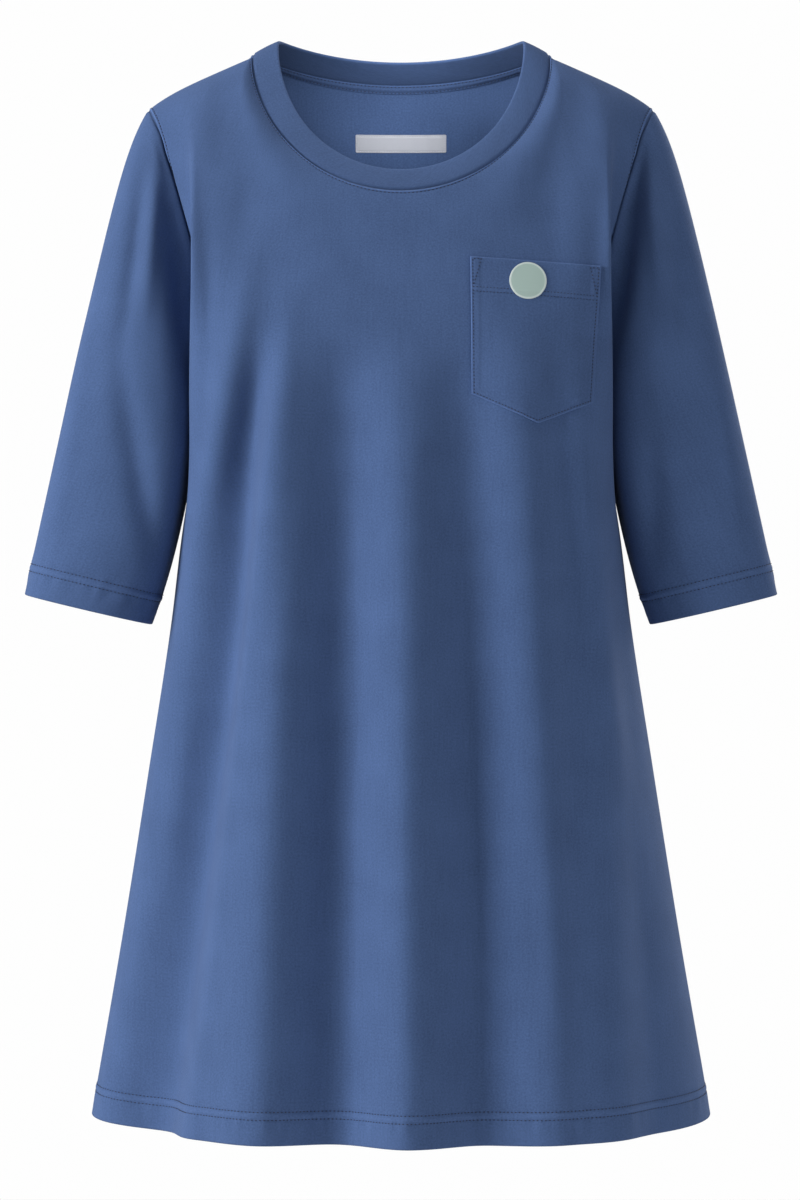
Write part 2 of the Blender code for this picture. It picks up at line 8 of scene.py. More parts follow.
import bpy
import numpy as np
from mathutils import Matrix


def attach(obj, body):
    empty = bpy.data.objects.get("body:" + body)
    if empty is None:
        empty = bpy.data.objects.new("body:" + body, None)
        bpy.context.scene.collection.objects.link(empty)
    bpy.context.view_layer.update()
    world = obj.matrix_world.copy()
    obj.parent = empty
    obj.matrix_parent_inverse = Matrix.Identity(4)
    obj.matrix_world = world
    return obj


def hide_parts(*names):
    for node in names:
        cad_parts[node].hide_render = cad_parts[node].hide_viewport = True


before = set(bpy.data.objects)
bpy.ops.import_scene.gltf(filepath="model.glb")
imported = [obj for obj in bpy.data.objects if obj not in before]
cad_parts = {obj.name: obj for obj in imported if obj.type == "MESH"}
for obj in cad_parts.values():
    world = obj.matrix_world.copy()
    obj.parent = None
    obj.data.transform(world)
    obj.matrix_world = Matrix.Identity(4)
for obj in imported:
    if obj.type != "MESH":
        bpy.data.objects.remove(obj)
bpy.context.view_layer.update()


# ---- The front and back panels ----------------------------------------------------------------
# Two A-line panels of brushed cotton jersey, cut on the fold and overlocked together at the sides
# and shoulders. Worn, they round over the chest, hollow beside the arms and fall in soft folds to a
# deep hem, turned up once and held by two rows of stitching.

FRONT, BACK = -1, 1  # the sign of Y
WALL = 0.0012
HEM_DEPTH = 0.028
SEAM_GAP = 0.0003  # between two pieces that are sewn together
# Where a seam folds sharply its pieces keep their own ways out, and both edges tuck in behind it
FOLDED_SEAM, FOLDED_TUCK, FOLDED_YOKE_SHARE = 0.7, 0.0006, 0.5

HEM_HEIGHT, UNDERARM_HEIGHT = -0.897, -0.245
UNDERARM_HALF_WIDTH, SHOULDER_HALF_WIDTH = 0.160, 0.2150
SHOULDER_SLOPE_DROP, SHOULDER_TIP_DROP = 0.0390, 0.0065
ARMHOLE_BULGE = {FRONT: 0.140, BACK: 0.200}  # how far its curve swings out to the front and back
ARMHOLE_SCOOP = {FRONT: 0.008, BACK: 0.004}  # how far it cuts in towards the body
ARMHOLE_REACH = 0.45  # the share of a panel's half width that turns towards it
NECK_LEAN = {FRONT: 0.46, BACK: 0.58}  # how steeply the cloth leans in as it rises to the neckline
NECK_PULL, SHOULDER_PULL = 0.70, 0.60  # how far below each edge the cloth keeps the edge's direction
# How the cloth climbs towards the shoulder seam, and spreads outwards beside the neckband
SHOULDER_PITCH, SHOULDER_SPLAY, SPLAY_REACH = 0.35, 0.7, 0.20
ARM_DENT_REACH, ARM_DENT_EDGE = 0.048, 4  # the hollow where the sleeve lies beside the body
# height, half_width, front_depth, back_depth, squareness, arm_dent
BODY_SECTIONS = (
    (-0.897, 0.2625, 0.1660, 0.1560, 2.00, 0.0000),
    (-0.750, 0.2370, 0.1540, 0.1450, 2.05, 0.0000),
    (-0.600, 0.2130, 0.1430, 0.1330, 2.15, 0.0000),
    (-0.480, 0.1945, 0.1330, 0.1230, 2.30, 0.0000),
    (-0.400, 0.1885, 0.1250, 0.1160, 2.45, 0.0040),
    (-0.340, 0.1880, 0.1190, 0.1110, 2.65, 0.0140),
    (-0.290, 0.1890, 0.1140, 0.1070, 2.85, 0.0240),
    (-0.245, 0.1890, 0.1090, 0.1040, 3.00, 0.0290),
)
NECK_HALF_WIDTH, NECK_FRONT_DEPTH, NECK_BACK_DEPTH = 0.1265, 0.083, 0.078
NECK_FRONT_DROP, NECK_BACK_DROP, NECK_SOFTNESS = 0.124, 0.017, 0.12
NECK_SHARE = 0.52  # the share of a panel's columns that end at the neckline
# The cloth below it rounds off the corner where the neckline meets the shoulder seam
CORNER_REACH, CORNER_STEPS, CORNER_CRISPNESS = 0.10, 9, 7

# Main folds: x_top, x_hem, half_width_top, half_width_hem, lift_hem
FOLDS = {
    FRONT: (
        (-0.1090, -0.2200, 0.024, 0.054, -0.036),
        (-0.0880, -0.1157, 0.040, 0.060, 0.015),
        (-0.0450, -0.0545, 0.044, 0.064, -0.024),
        (0.0024, 0.0102, 0.048, 0.066, 0.018),
        (0.0510, 0.0600, 0.045, 0.066, -0.014),
        (0.0914, 0.1250, 0.042, 0.070, 0.018),
        (0.1460, 0.1720, 0.026, 0.042, 0.013),
    ),
    BACK: (
        (-0.1120, -0.1950, 0.022, 0.044, -0.022),
        (-0.0900, -0.1400, 0.040, 0.060, 0.014),
        (-0.0520, -0.0900, 0.042, 0.058, -0.018),
        (-0.0080, -0.0300, 0.045, 0.060, 0.018),
        (0.0380, 0.0330, 0.044, 0.060, -0.021),
        (0.0860, 0.0960, 0.044, 0.064, 0.020),
        (0.1180, 0.1850, 0.024, 0.046, -0.020),
    ),
}
FOLDS_START, FOLDS_END = -0.215, -0.897
# How soon the folds deepen, how softly they start, and the part beside each side seam that they leave calm
FOLDS_GROWTH, FOLDS_SOFT_START, FOLDS_SIDE_CALM = 0.20, 0.07, 0.20

# Creases as seen from the front, with a lift below zero in a trough:
# head x, head z, foot x, foot z, bow, half_width, lift
CREASES = {
    FRONT: (
        (-0.178, 0.010, -0.154, -0.280, 0.000, 0.011, -0.0032),
        (0.178, 0.010, 0.154, -0.280, 0.000, 0.011, -0.0034),
        (-0.137, 0.020, -0.141, -0.240, 0.000, 0.013, 0.0018),
        (0.137, 0.020, 0.141, -0.240, 0.000, 0.013, 0.0018),
        (-0.112, -0.120, -0.170, -0.430, 0.002, 0.013, 0.0052),
        (-0.106, -0.190, -0.150, -0.480, 0.002, 0.012, -0.0006),
        (-0.156, -0.120, -0.166, -0.360, 0.001, 0.0055, -0.0015),
        (-0.090, -0.185, -0.122, -0.520, 0.003, 0.012, 0.0050),
        (-0.186, -0.050, -0.181, -0.170, 0.003, 0.006, 0.0011),
        (0.196, -0.060, 0.186, -0.170, -0.003, 0.008, 0.0018),
        (0.138, -0.240, 0.176, -0.600, -0.003, 0.011, 0.0042),
        (0.168, -0.500, 0.205, -0.760, 0.004, 0.010, 0.0022),
        (-0.172, -0.480, -0.205, -0.760, 0.003, 0.012, 0.0024),
        (-0.030, -0.420, -0.036, -0.640, 0.003, 0.010, -0.0014),
        (0.030, -0.560, 0.040, -0.820, -0.003, 0.012, 0.0016),
        (0.100, -0.600, 0.110, -0.860, 0.002, 0.011, -0.0016),
    ),
    BACK: (
        (0.130, -0.225, 0.165, -0.430, -0.004, 0.010, 0.0040),
        (-0.135, -0.235, -0.160, -0.450, 0.004, 0.011, 0.0036),
        (0.188, -0.055, 0.182, -0.180, -0.003, 0.007, 0.0020),
        (-0.190, -0.060, -0.183, -0.190, 0.003, 0.008, 0.0022),
        (-0.170, -0.470, -0.212, -0.780, -0.003, 0.012, 0.0022),
        (0.166, -0.500, 0.200, -0.760, 0.003, 0.011, 0.0026),
        (0.020, -0.430, 0.016, -0.680, 0.002, 0.010, -0.0014),
        (-0.060, -0.560, -0.072, -0.830, -0.003, 0.011, 0.0016),
    ),
}
CREASE_FADE = 0.45  # the share of its length over which each end fades
CREASE_CLEAR = 0.012  # how far from a sewn edge a crease has its whole lift

# The grid of each panel, finer at its sewn edges
NECK_COLUMNS, SHOULDER_COLUMNS, EDGE_COLUMNS, EDGE_COLUMN_STEP = 116, 36, 9, 0.0032
SKIRT_ROWS, YOKE_ROWS, EDGE_ROWS, EDGE_ROW_STEP = 100, 44, 12, 0.005
HEM_EDGE_ROWS = (0, 0.0003, 0.0008, 0.0015)
HEM_ROWS_START, HEM_ROWS_END, HEM_ROW_STEP = 0.0025, 0.0345, 0.0009
NEAR_ROWS, NEAR_COLUMNS = 60, 40  # rows and columns that hold all the stitching beside an edge
PROBE = 0.002  # how far below the underarm the skirt's direction is read


def ease(share):
    share = np.clip(share, 0.0, 1.0)
    return share * share * (3.0 - 2.0 * share)


def unit(vectors):
    return vectors / np.maximum(np.linalg.norm(vectors, axis=-1, keepdims=True), 1e-12)


def line_of(distance, place, width):
    """1 at a place, such as a line at a distance from an edge, fading on both sides over a width."""
    return np.exp(-(((distance - place) / width) ** 2))


def through(at, places, values):
    """A smooth curve through the values at rising places."""
    slopes = np.gradient(values, places)
    k = np.clip(np.searchsorted(places, at) - 1, 0, len(places) - 2)
    step = places[k + 1] - places[k]
    t = (at - places[k]) / step
    start, end = values[k], values[k + 1]
    rise = (t**3 - 2 * t**2 + t) * slopes[k] + (t**3 - t**2) * slopes[k + 1]
    return start + (end - start) * (3 * t**2 - 2 * t**3) + rise * step


def body_ring(q, height, side):
    """The body below the underarm. q is -1 to 1 from seam to seam, and 0 at the centre."""
    heights, *columns = np.array(BODY_SECTIONS).T
    half_width, front, back, squareness, dent = [through(height, heights, column) for column in columns]
    depth = front if side == FRONT else back
    sine, cosine = np.abs(np.sin(q * math.pi / 2)), np.abs(np.cos(q * math.pi / 2))
    radius = ((sine / half_width) ** squareness + (cosine / depth) ** squareness) ** (-1 / squareness)
    y = side * radius * cosine
    x = radius * sine - dent * np.exp(-((np.abs(y) / ARM_DENT_REACH) ** ARM_DENT_EDGE))
    return np.stack([np.sign(q) * x, y, height + 0 * x], axis=-1)


def neck_soft(c):
    return (c + np.sqrt(c * c + NECK_SOFTNESS**2)) / 2


def neck_seam(angle):
    """The line where the neckband is sewn on. angle is 0 at the centre front and pi at the centre back."""
    c = np.cos(angle)
    level = neck_soft(0.0)
    drop = NECK_FRONT_DROP / (neck_soft(1.0) - level)
    y = -np.where(c > 0, NECK_FRONT_DEPTH, NECK_BACK_DEPTH) * c
    z = -drop * (neck_soft(c) - level) - NECK_BACK_DROP * np.maximum(0, -c) ** 2
    return np.stack([NECK_HALF_WIDTH * np.sin(angle), y, z], axis=-1)


def shoulder_seam(share, hand):
    """From the neckband, 0, to the sleeve, 1."""
    x = NECK_HALF_WIDTH + (SHOULDER_HALF_WIDTH - NECK_HALF_WIDTH) * share
    return np.stack([hand * x, 0 * x, -(SHOULDER_SLOPE_DROP * share + SHOULDER_TIP_DROP * share**5)], axis=-1)


def top_edge(q, side):
    """Where each column of a panel ends: at the neckline, then along the shoulder seam."""
    turn = np.clip(q / NECK_SHARE, -1, 1) * math.pi / 2
    neck = neck_seam(turn if side == FRONT else math.pi - turn)
    share = np.clip((np.abs(q) - NECK_SHARE) / (1 - NECK_SHARE), 0, 1)
    return np.where((np.abs(q) <= NECK_SHARE)[:, None], neck, shoulder_seam(share, np.sign(q)))


def rounded_top_edge(q, side):
    """The top edge without its corners, which the cloth below it follows."""
    steps = np.linspace(-1, 1, CORNER_STEPS)
    weights = 1 + np.cos(math.pi * steps)
    room = ease((1 - np.abs(q)) / (1 - NECK_SHARE))
    edges = [weight * top_edge(q + CORNER_REACH * step * room, side) for step, weight in zip(steps, weights)]
    return sum(edges) / weights.sum()


def yoke(q, v, side):
    """The panel above the underarm: v is 0 there and 1 at the neckline and shoulder seam."""
    start, end = body_ring(q, UNDERARM_HEIGHT, side), rounded_top_edge(q, side)
    span = np.linalg.norm(end - start, axis=-1, keepdims=True)
    below = body_ring(q, UNDERARM_HEIGHT - PROBE, side)
    to_armhole = ease((np.abs(q) - 1 + ARMHOLE_REACH) / ARMHOLE_REACH)[:, None]
    start_pull = unit((1 - to_armhole) * unit(start - below) + to_armhole * np.array([0.0, side, 0.0])) * span
    start_pull[np.abs(q) >= 1] = (0, side * ARMHOLE_BULGE[side], 0)
    neck_zone = ease(1 - np.abs(q) / NECK_SHARE)[:, None]
    outward = np.clip((np.abs(q) - NECK_SHARE) / (1 - NECK_SHARE), 0, 1)
    splay = line_of(np.abs(q), NECK_SHARE, SPLAY_REACH)
    slope = SHOULDER_SLOPE_DROP / (SHOULDER_HALF_WIDTH - NECK_HALF_WIDTH)
    climb = SHOULDER_SPLAY * slope * splay + SHOULDER_PITCH * (1 - ease(outward))
    rising = unit(np.array([0.0, -side * NECK_LEAN[side], 1.0]))
    over = np.stack([-SHOULDER_SPLAY * np.sign(q) * splay, np.full_like(q, -side), climb], axis=-1)
    end_pull = unit(neck_zone * rising + (1 - neck_zone) * unit(over))
    end_pull = end_pull * span * (NECK_PULL * neck_zone + SHOULDER_PULL * (1 - neck_zone))
    end_pull[np.abs(q) >= 1] = (0, -side * ARMHOLE_BULGE[side], 0)
    t = v[:, None, None]
    points = (2 * t**3 - 3 * t**2 + 1) * start + (t**3 - 2 * t**2 + t) * start_pull
    points = points + (3 * t**2 - 2 * t**3) * end + (t**3 - t**2) * end_pull
    points = points + t**CORNER_CRISPNESS * (top_edge(q, side) - end)
    scoop = ARMHOLE_SCOOP[side] * np.sin(math.pi * v)[:, None] * to_armhole[None, :, 0]
    points[..., 0] -= np.sign(q)[None] * scoop
    return points


def grid_normals(points, outward, closed=False):
    """The way out of the cloth at each point of a grid. A closed grid's last column repeats its first."""
    along, around = np.gradient(points, axis=0), np.gradient(points, axis=1)
    if closed:
        around[:, 0] = around[:, -1] = (points[:, 1] - points[:, -2]) / 2
    return outward * unit(np.cross(around, along))


def lengths(points, axis):
    """How far each point lies along the cloth from its grid's first row or column."""
    step = np.linalg.norm(np.diff(points, axis=axis), axis=-1)
    start = np.zeros_like(np.take(step, [0], axis=axis))
    return np.concatenate([start, np.cumsum(step, axis=axis)], axis=axis)


def lengths_back(points, axis):
    """How far each point lies along the cloth from its grid's last row or column."""
    return np.flip(lengths(np.flip(points, axis), axis), axis)


def from_both(points, axis):
    """How far each point lies along the cloth from the nearer of its grid's first and last."""
    return np.minimum(lengths(points, axis), lengths_back(points, axis))


def fold_lift(points, folds):
    """How far the main folds lift the cloth."""
    below = FOLDS_START - points[..., 2]
    down = np.clip(below / (FOLDS_START - FOLDS_END), 0, 1)
    lift = np.zeros_like(below)
    for x_top, x_hem, half_top, half_hem, lift_hem in folds:
        off = (points[..., 0] - (x_top + (x_hem - x_top) * down)) / (half_top + (half_hem - half_top) * down)
        lift += lift_hem * (0.5 + 0.5 * np.cos(math.pi * np.clip(off, -1, 1)))
    return lift * np.where(below > 0, (1 - np.exp(-below / FOLDS_GROWTH)) * ease(below / FOLDS_SOFT_START), 0)


def crease_lift(points, normals, side, creases):
    """How far the creases lift the cloth that faces front or back."""
    lift = np.zeros(points.shape[:2])
    for head_x, head_z, foot_x, foot_z, bow, half_width, height in creases:
        run_x, run_z = foot_x - head_x, foot_z - head_z
        length = math.hypot(run_x, run_z)
        x, z = points[..., 0] - head_x, points[..., 2] - head_z
        along = np.clip((x * run_x + z * run_z) / length**2, 0, 1)
        off = (x * -run_z + z * run_x) / length - bow * 4 * along * (1 - along)
        fade = ease(along / CREASE_FADE) * ease((1 - along) / CREASE_FADE)
        lift += height * line_of(off, 0, half_width) * fade
    return lift * np.clip(2 * side * normals[..., 1], 0, 1)


# Sewn edges. Each ridge and dip has a height and the width over which it fades.
SEAM_DIP, SEAM_DIP_WIDTH = 0.0011, 0.0013  # the rounded groove at a seam
RIDGE_PLACE, RIDGE, RIDGE_WIDTH = 0.0021, 0.00055, 0.0008  # the cloth raised beside it
TOPSTITCH, TOPSTITCH_DIP, TOPSTITCH_WIDTH = 0.0032, 0.00045, 0.0007  # and the stitching beyond
ALLOWANCE, ALLOWANCE_WALL = 0.0060, 0.0012  # the overlocked allowance inside
CHANNEL_ROWS = (0.0205, 0.0268)  # the two rows of stitching above a hem's edge
CHANNEL, CHANNEL_WIDTH = 0.00065, 0.0020  # the cloth raised between them
ROW_DIP, ROW_WIDTH = 0.00026, 0.0009
PUCKER, PUCKER_REACH, PUCKER_START = 0.00034, 0.010, 0.004
PUCKER_WAVES = ((0.0027, 1.0, 0.0), (0.0041, 0.8, 1.3), (0.0019, 0.7, 0.4))  # size, share, shift
CALM_SHARE, CALM_WIDTH = 0.7, 0.003  # the channel is flatter than the cloth on both sides of it
EDGE_ROUNDNESS = 0.92  # a folded edge is a half circle at 1
SHARED_REACH = 0.010  # how far from a seam two pieces share one direction
SHARED_NECK_FADE = 0.06  # the share of a panel's half width over which that fades out along the neckline

# Painted light and shade: above zero painted light, mostly a painted highlight on raised edges and ridges,
# and below zero painted shade in the grooves
PAINTED_LIGHT_WIDTH, CHANNEL_PAINTED_HIGHLIGHT, ROW_PAINTED_LIGHT = 0.0008, 0.16, 0.10
GROOVE_PAINTED_SHADE, GROOVE_PAINTED_SHADE_WIDTH = -0.4, 0.0010
RIDGE_PAINTED_HIGHLIGHT, RIDGE_PAINTED_HIGHLIGHT_PLACE = 0.8, 0.0019


def seam_groove(distance):
    return -SEAM_DIP * line_of(distance, 0, SEAM_DIP_WIDTH)


def topstitched(distance):
    """A low ridge beside a seam, and the dip where the seam is stitched down."""
    ridge = RIDGE * line_of(distance, RIDGE_PLACE, RIDGE_WIDTH)
    return ridge - TOPSTITCH_DIP * line_of(distance, TOPSTITCH, TOPSTITCH_WIDTH)


def hem_relief(distance, around):
    """The cloth above a hem's edge: the channel between its stitching, and fine puckers beside it."""
    low, high = CHANNEL_ROWS
    off = distance - (low + high) / 2
    channel = CHANNEL * line_of(off, 0, CHANNEL_WIDTH)
    dips = sum(ROW_DIP * line_of(distance, row, ROW_WIDTH) for row in CHANNEL_ROWS)
    waves = sum(share * np.sin(around / size + shift) for size, share, shift in PUCKER_WAVES)
    near = line_of(distance, low, PUCKER_REACH) * ease(distance / PUCKER_START)
    return channel - dips + PUCKER * waves * near * (1 - CALM_SHARE * line_of(off, 0, CALM_WIDTH))


def hem_painted_light_and_shade(distance):
    """Painted highlight on the raised channel and painted light along its rows, and painted shade at the
    hem's folded edge.
    """
    low, high = CHANNEL_ROWS
    rows = line_of(distance, low, PAINTED_LIGHT_WIDTH) + line_of(distance, high, PAINTED_LIGHT_WIDTH)
    painted_light = CHANNEL_PAINTED_HIGHLIGHT * line_of(distance, (low + high) / 2, CHANNEL_WIDTH) + ROW_PAINTED_LIGHT * rows
    return painted_light + GROOVE_PAINTED_SHADE * line_of(distance, 0, PAINTED_LIGHT_WIDTH)


def rounded_edge(distance, thickness):
    """How far each face of a folded edge sinks towards the other."""
    into = np.clip(1 - distance / (thickness / 2), 0, 1)
    return thickness / 2 * EDGE_ROUNDNESS * (1 - np.sqrt(1 - into**2))


def until(distance, place, softness=0.0012):
    """1 up to a place and 0 past it."""
    return 1 - ease((distance - place) / softness + 0.5)


def draw_back(points, edge, beside):
    """Draws an edge back from its seam line."""
    points[edge] += unit(points[beside] - points[edge]) * SEAM_GAP / 2


SMOOTH_ANGLE = math.radians(55)


def cloth_piece(name, outer, inner, uv, painted_light_and_tone, closed=False):
    """A grid laid on a piece's outer points, with a wall whose inner side has points of its own."""
    rows, columns = outer.shape[:2]
    bpy.ops.object.select_all(action="DESELECT")
    bpy.ops.mesh.primitive_grid_add(x_subdivisions=columns - 1, y_subdivisions=rows - 1, size=1)
    piece = bpy.context.object
    piece.name = piece.data.name = name
    mesh = piece.data
    mesh.vertices.foreach_set("co", outer.ravel())
    corners = np.empty(len(mesh.loops), dtype=np.int32)
    mesh.loops.foreach_get("vertex_index", corners)
    mesh.uv_layers[0].data.foreach_set("uv", uv.reshape(-1, 2)[corners].ravel())
    places = np.arange(rows * columns, dtype=np.int32)
    mesh.attributes.new("place", "INT", "POINT").data.foreach_set("value", places)
    # Painted highlights and painted shade, and the neckband's darker tone, that scale the jersey's colour
    painted_lights_and_tones = (painted_light_and_tone + 0 * outer[..., 0]).ravel()
    mesh.attributes.new("painted_light_and_tone", "FLOAT", "POINT").data.foreach_set("value", painted_lights_and_tones)
    if closed:
        bpy.ops.object.mode_set(mode="EDIT")
        bpy.ops.mesh.select_all(action="SELECT")
        bpy.ops.mesh.remove_doubles(threshold=1e-7)
        bpy.ops.object.mode_set(mode="OBJECT")
    solidify = piece.modifiers.new("wall", "SOLIDIFY")
    solidify.thickness, solidify.offset = WALL, -1
    bpy.ops.object.modifier_apply(modifier="wall")
    mesh = piece.data
    place = np.empty(len(mesh.vertices), dtype=np.int32)
    mesh.attributes["place"].data.foreach_get("value", place)
    half = len(place) // 2
    laid = np.concatenate([outer.reshape(-1, 3)[place[:half]], inner.reshape(-1, 3)[place[half:]]])
    mesh.vertices.foreach_set("co", laid.ravel())
    mesh.attributes.remove(mesh.attributes["place"])
    mesh.update()
    bpy.ops.object.shade_smooth_by_angle(angle=SMOOTH_ANGLE)
    return piece


def fine_towards(start, end, count, fine_step, fine_count):
    """Values from start to end, close together at the end."""
    fine = end - fine_step * np.arange(fine_count, -1, -1)
    return np.concatenate([np.linspace(start, fine[0], count + 1)[:-1], fine])


shoulder_columns = fine_towards(NECK_SHARE, 1, SHOULDER_COLUMNS, EDGE_COLUMN_STEP, EDGE_COLUMNS)
neck_columns = np.linspace(-NECK_SHARE, NECK_SHARE, NECK_COLUMNS + 1)
panel_columns = np.concatenate([-shoulder_columns[:0:-1], neck_columns, shoulder_columns[1:]])
hem_rows = np.concatenate([HEM_EDGE_ROWS, np.arange(HEM_ROWS_START, HEM_ROWS_END, HEM_ROW_STEP)])
hem_top = HEM_HEIGHT + hem_rows[-1]
skirt_rows = np.linspace(hem_top, UNDERARM_HEIGHT, SKIRT_ROWS)
skirt_heights = np.concatenate([HEM_HEIGHT + hem_rows, skirt_rows[1:]])
yoke_shares = fine_towards(0, 1, YOKE_ROWS, EDGE_ROW_STEP, EDGE_ROWS)
at_neck = slice(len(shoulder_columns) - 1, len(shoulder_columns) + NECK_COLUMNS)
at_armhole = slice(len(skirt_heights) - 1, None)


def panel(side):
    """A panel's outer points, in rows from the hem up, before it is sewn."""
    skirt = np.stack([body_ring(panel_columns, height, side) for height in skirt_heights])
    points = np.concatenate([skirt, yoke(panel_columns, yoke_shares[1:], side)])
    to_side_seam = 1 - ease((np.abs(panel_columns) - 1 + FOLDS_SIDE_CALM) / FOLDS_SIDE_CALM)
    lift = fold_lift(points, FOLDS[side]) * to_side_seam
    points = points + lift[..., None] * grid_normals(points, -side)
    normals = grid_normals(points, -side)
    free = ease(from_both(points, 1) / CREASE_CLEAR) * ease(lengths_back(points, 0) / CREASE_CLEAR)
    return points + (crease_lift(points, normals, side, CREASES[side]) * free)[..., None] * normals


def panel_piece(name, side, points, normals):
    """A sewn panel: its seams, its topstitching beside the neckband and sleeves, and its hem."""
    from_side = from_both(points, 1)
    from_top = lengths_back(points, 0)
    from_hem = lengths(points, 0)
    from_seam = np.minimum(from_side, from_top)
    around = lengths(points, 1)
    around = around - around[:, around.shape[1] // 2, None]
    lift = seam_groove(from_seam) + hem_relief(from_hem, around)
    lift[at_armhole] += topstitched(from_side[at_armhole])
    lift[:, at_neck] += topstitched(from_top[:, at_neck])
    thickness = WALL + WALL * until(from_hem, HEM_DEPTH)
    edge = rounded_edge(from_hem, thickness)
    seam = ALLOWANCE_WALL * until(from_seam, ALLOWANCE)
    outer = points + (lift - edge)[..., None] * normals
    inner = points + (edge - thickness - seam)[..., None] * normals
    uv = np.stack([around, from_hem], axis=-1)
    # Painted shade in the seam grooves, and a painted highlight on the ridge beside the neckband and sleeves
    painted_light_and_tone = hem_painted_light_and_shade(from_hem) + GROOVE_PAINTED_SHADE * line_of(from_seam, 0, GROOVE_PAINTED_SHADE_WIDTH)
    painted_light_and_tone[at_armhole] += RIDGE_PAINTED_HIGHLIGHT * line_of(from_side[at_armhole], RIDGE_PAINTED_HIGHLIGHT_PLACE, PAINTED_LIGHT_WIDTH)
    painted_light_and_tone[:, at_neck] += RIDGE_PAINTED_HIGHLIGHT * line_of(from_top[:, at_neck], RIDGE_PAINTED_HIGHLIGHT_PLACE, PAINTED_LIGHT_WIDTH)
    turned = slice(None, None, 1 if side == FRONT else -1)
    piece = cloth_piece(name, outer[:, turned], inner[:, turned], uv[:, turned], painted_light_and_tone[:, turned])
    return piece, outer, inner, {"side": from_side, "top": from_top, "hem": from_hem}


front, back = panel(FRONT), panel(BACK)
front_normals, back_normals = grid_normals(front, 1), grid_normals(back, -1)
shoulder_way = unit(front_normals[-1] + back_normals[-1])
past_neck = 1 - ease((NECK_SHARE - np.abs(panel_columns)) / SHARED_NECK_FADE)
for points, normals in ((front, front_normals), (back, back_normals)):
    near = line_of(lengths_back(points, 0), 0, SHARED_REACH) * past_neck
    normals[:] = unit(normals + near[..., None] * (shoulder_way - normals[-1])[None])
sleeve_seam_way = np.concatenate([front_normals[at_armhole, -1], back_normals[at_armhole, -1][-2::-1]])
neck_way = np.concatenate([front_normals[-1, at_neck], back_normals[-1, at_neck][-2::-1]])
for points, normals in ((front, front_normals), (back, back_normals)):
    under_arm = 1 - ease(yoke_shares / FOLDED_YOKE_SHARE)[:, None]
    for edge, beside in ((0, 1), (-1, -2)):
        points[at_armhole, edge] -= under_arm * FOLDED_TUCK * normals[at_armhole, edge]
        draw_back(points, (slice(None), edge), (slice(None), beside))
    draw_back(points, (-1, slice(None)), (-2, slice(None)))

front_cloth, front_outer, _, front_from = panel_piece("front_cloth", FRONT, front, front_normals)
back_cloth, back_outer, back_inner, back_from = panel_piece("back_cloth", BACK, back, back_normals)


def linked(tree, kind, **values):
    """A shader node. A value is a number or colour for its socket, or another node's output."""
    node = tree.nodes.new(kind)
    for key, value in values.items():
        if key in ("operation", "data_type"):
            setattr(node, key, value)
            continue
        socket = node.inputs[int(key[1:])] if key[0] == "_" else node.inputs[key.replace("_", " ")]
        if isinstance(value, bpy.types.NodeSocket):
            tree.links.new(value, socket)
        else:
            socket.default_value = value
    return node


def math_node(tree, operation, first, second=0.0, third=0.0):
    return linked(tree, "ShaderNodeMath", operation=operation, _0=first, _1=second, _2=third).outputs[0]


def noise(tree, vector, scale, detail=2.0):
    return linked(tree, "ShaderNodeTexNoise", Vector=vector, Scale=scale, Detail=detail).outputs[0]


def mapped(tree, vector, scale):
    return linked(tree, "ShaderNodeMapping", Vector=vector, Scale=scale).outputs[0]


def mix(tree, share, first, second):
    """The first colour at a share of 0, and the second at 1."""
    return linked(tree, "ShaderNodeMix", data_type="RGBA", _0=share, _6=first, _7=second).outputs[2]


def bump(tree, height, strength, distance, **below):
    """Shades a fine relief, over the relief below it if there is one."""
    values = {"Strength": strength, "Distance": distance, "Height": height, **below}
    return linked(tree, "ShaderNodeBump", **values).outputs[0]


def new_material(name):
    """A new material, its node tree and its shader."""
    made = bpy.data.materials.new(name)
    made.use_nodes = True
    return made, made.node_tree, made.node_tree.nodes["Principled BSDF"]


# Brushed jersey: fine wales of small V stitches under a short nap, with uneven dye
WALE, COURSE = 0.00085, 0.00062
PAINTED_LIGHT_STRENGTH = 0.55  # how much the painted highlights on edges and ridges and the painted shade in the grooves brighten and darken the cloth
JERSEY_DARK, JERSEY_LIGHT = (0.0470, 0.0860, 0.1960, 1), (0.0820, 0.1440, 0.3180, 1)


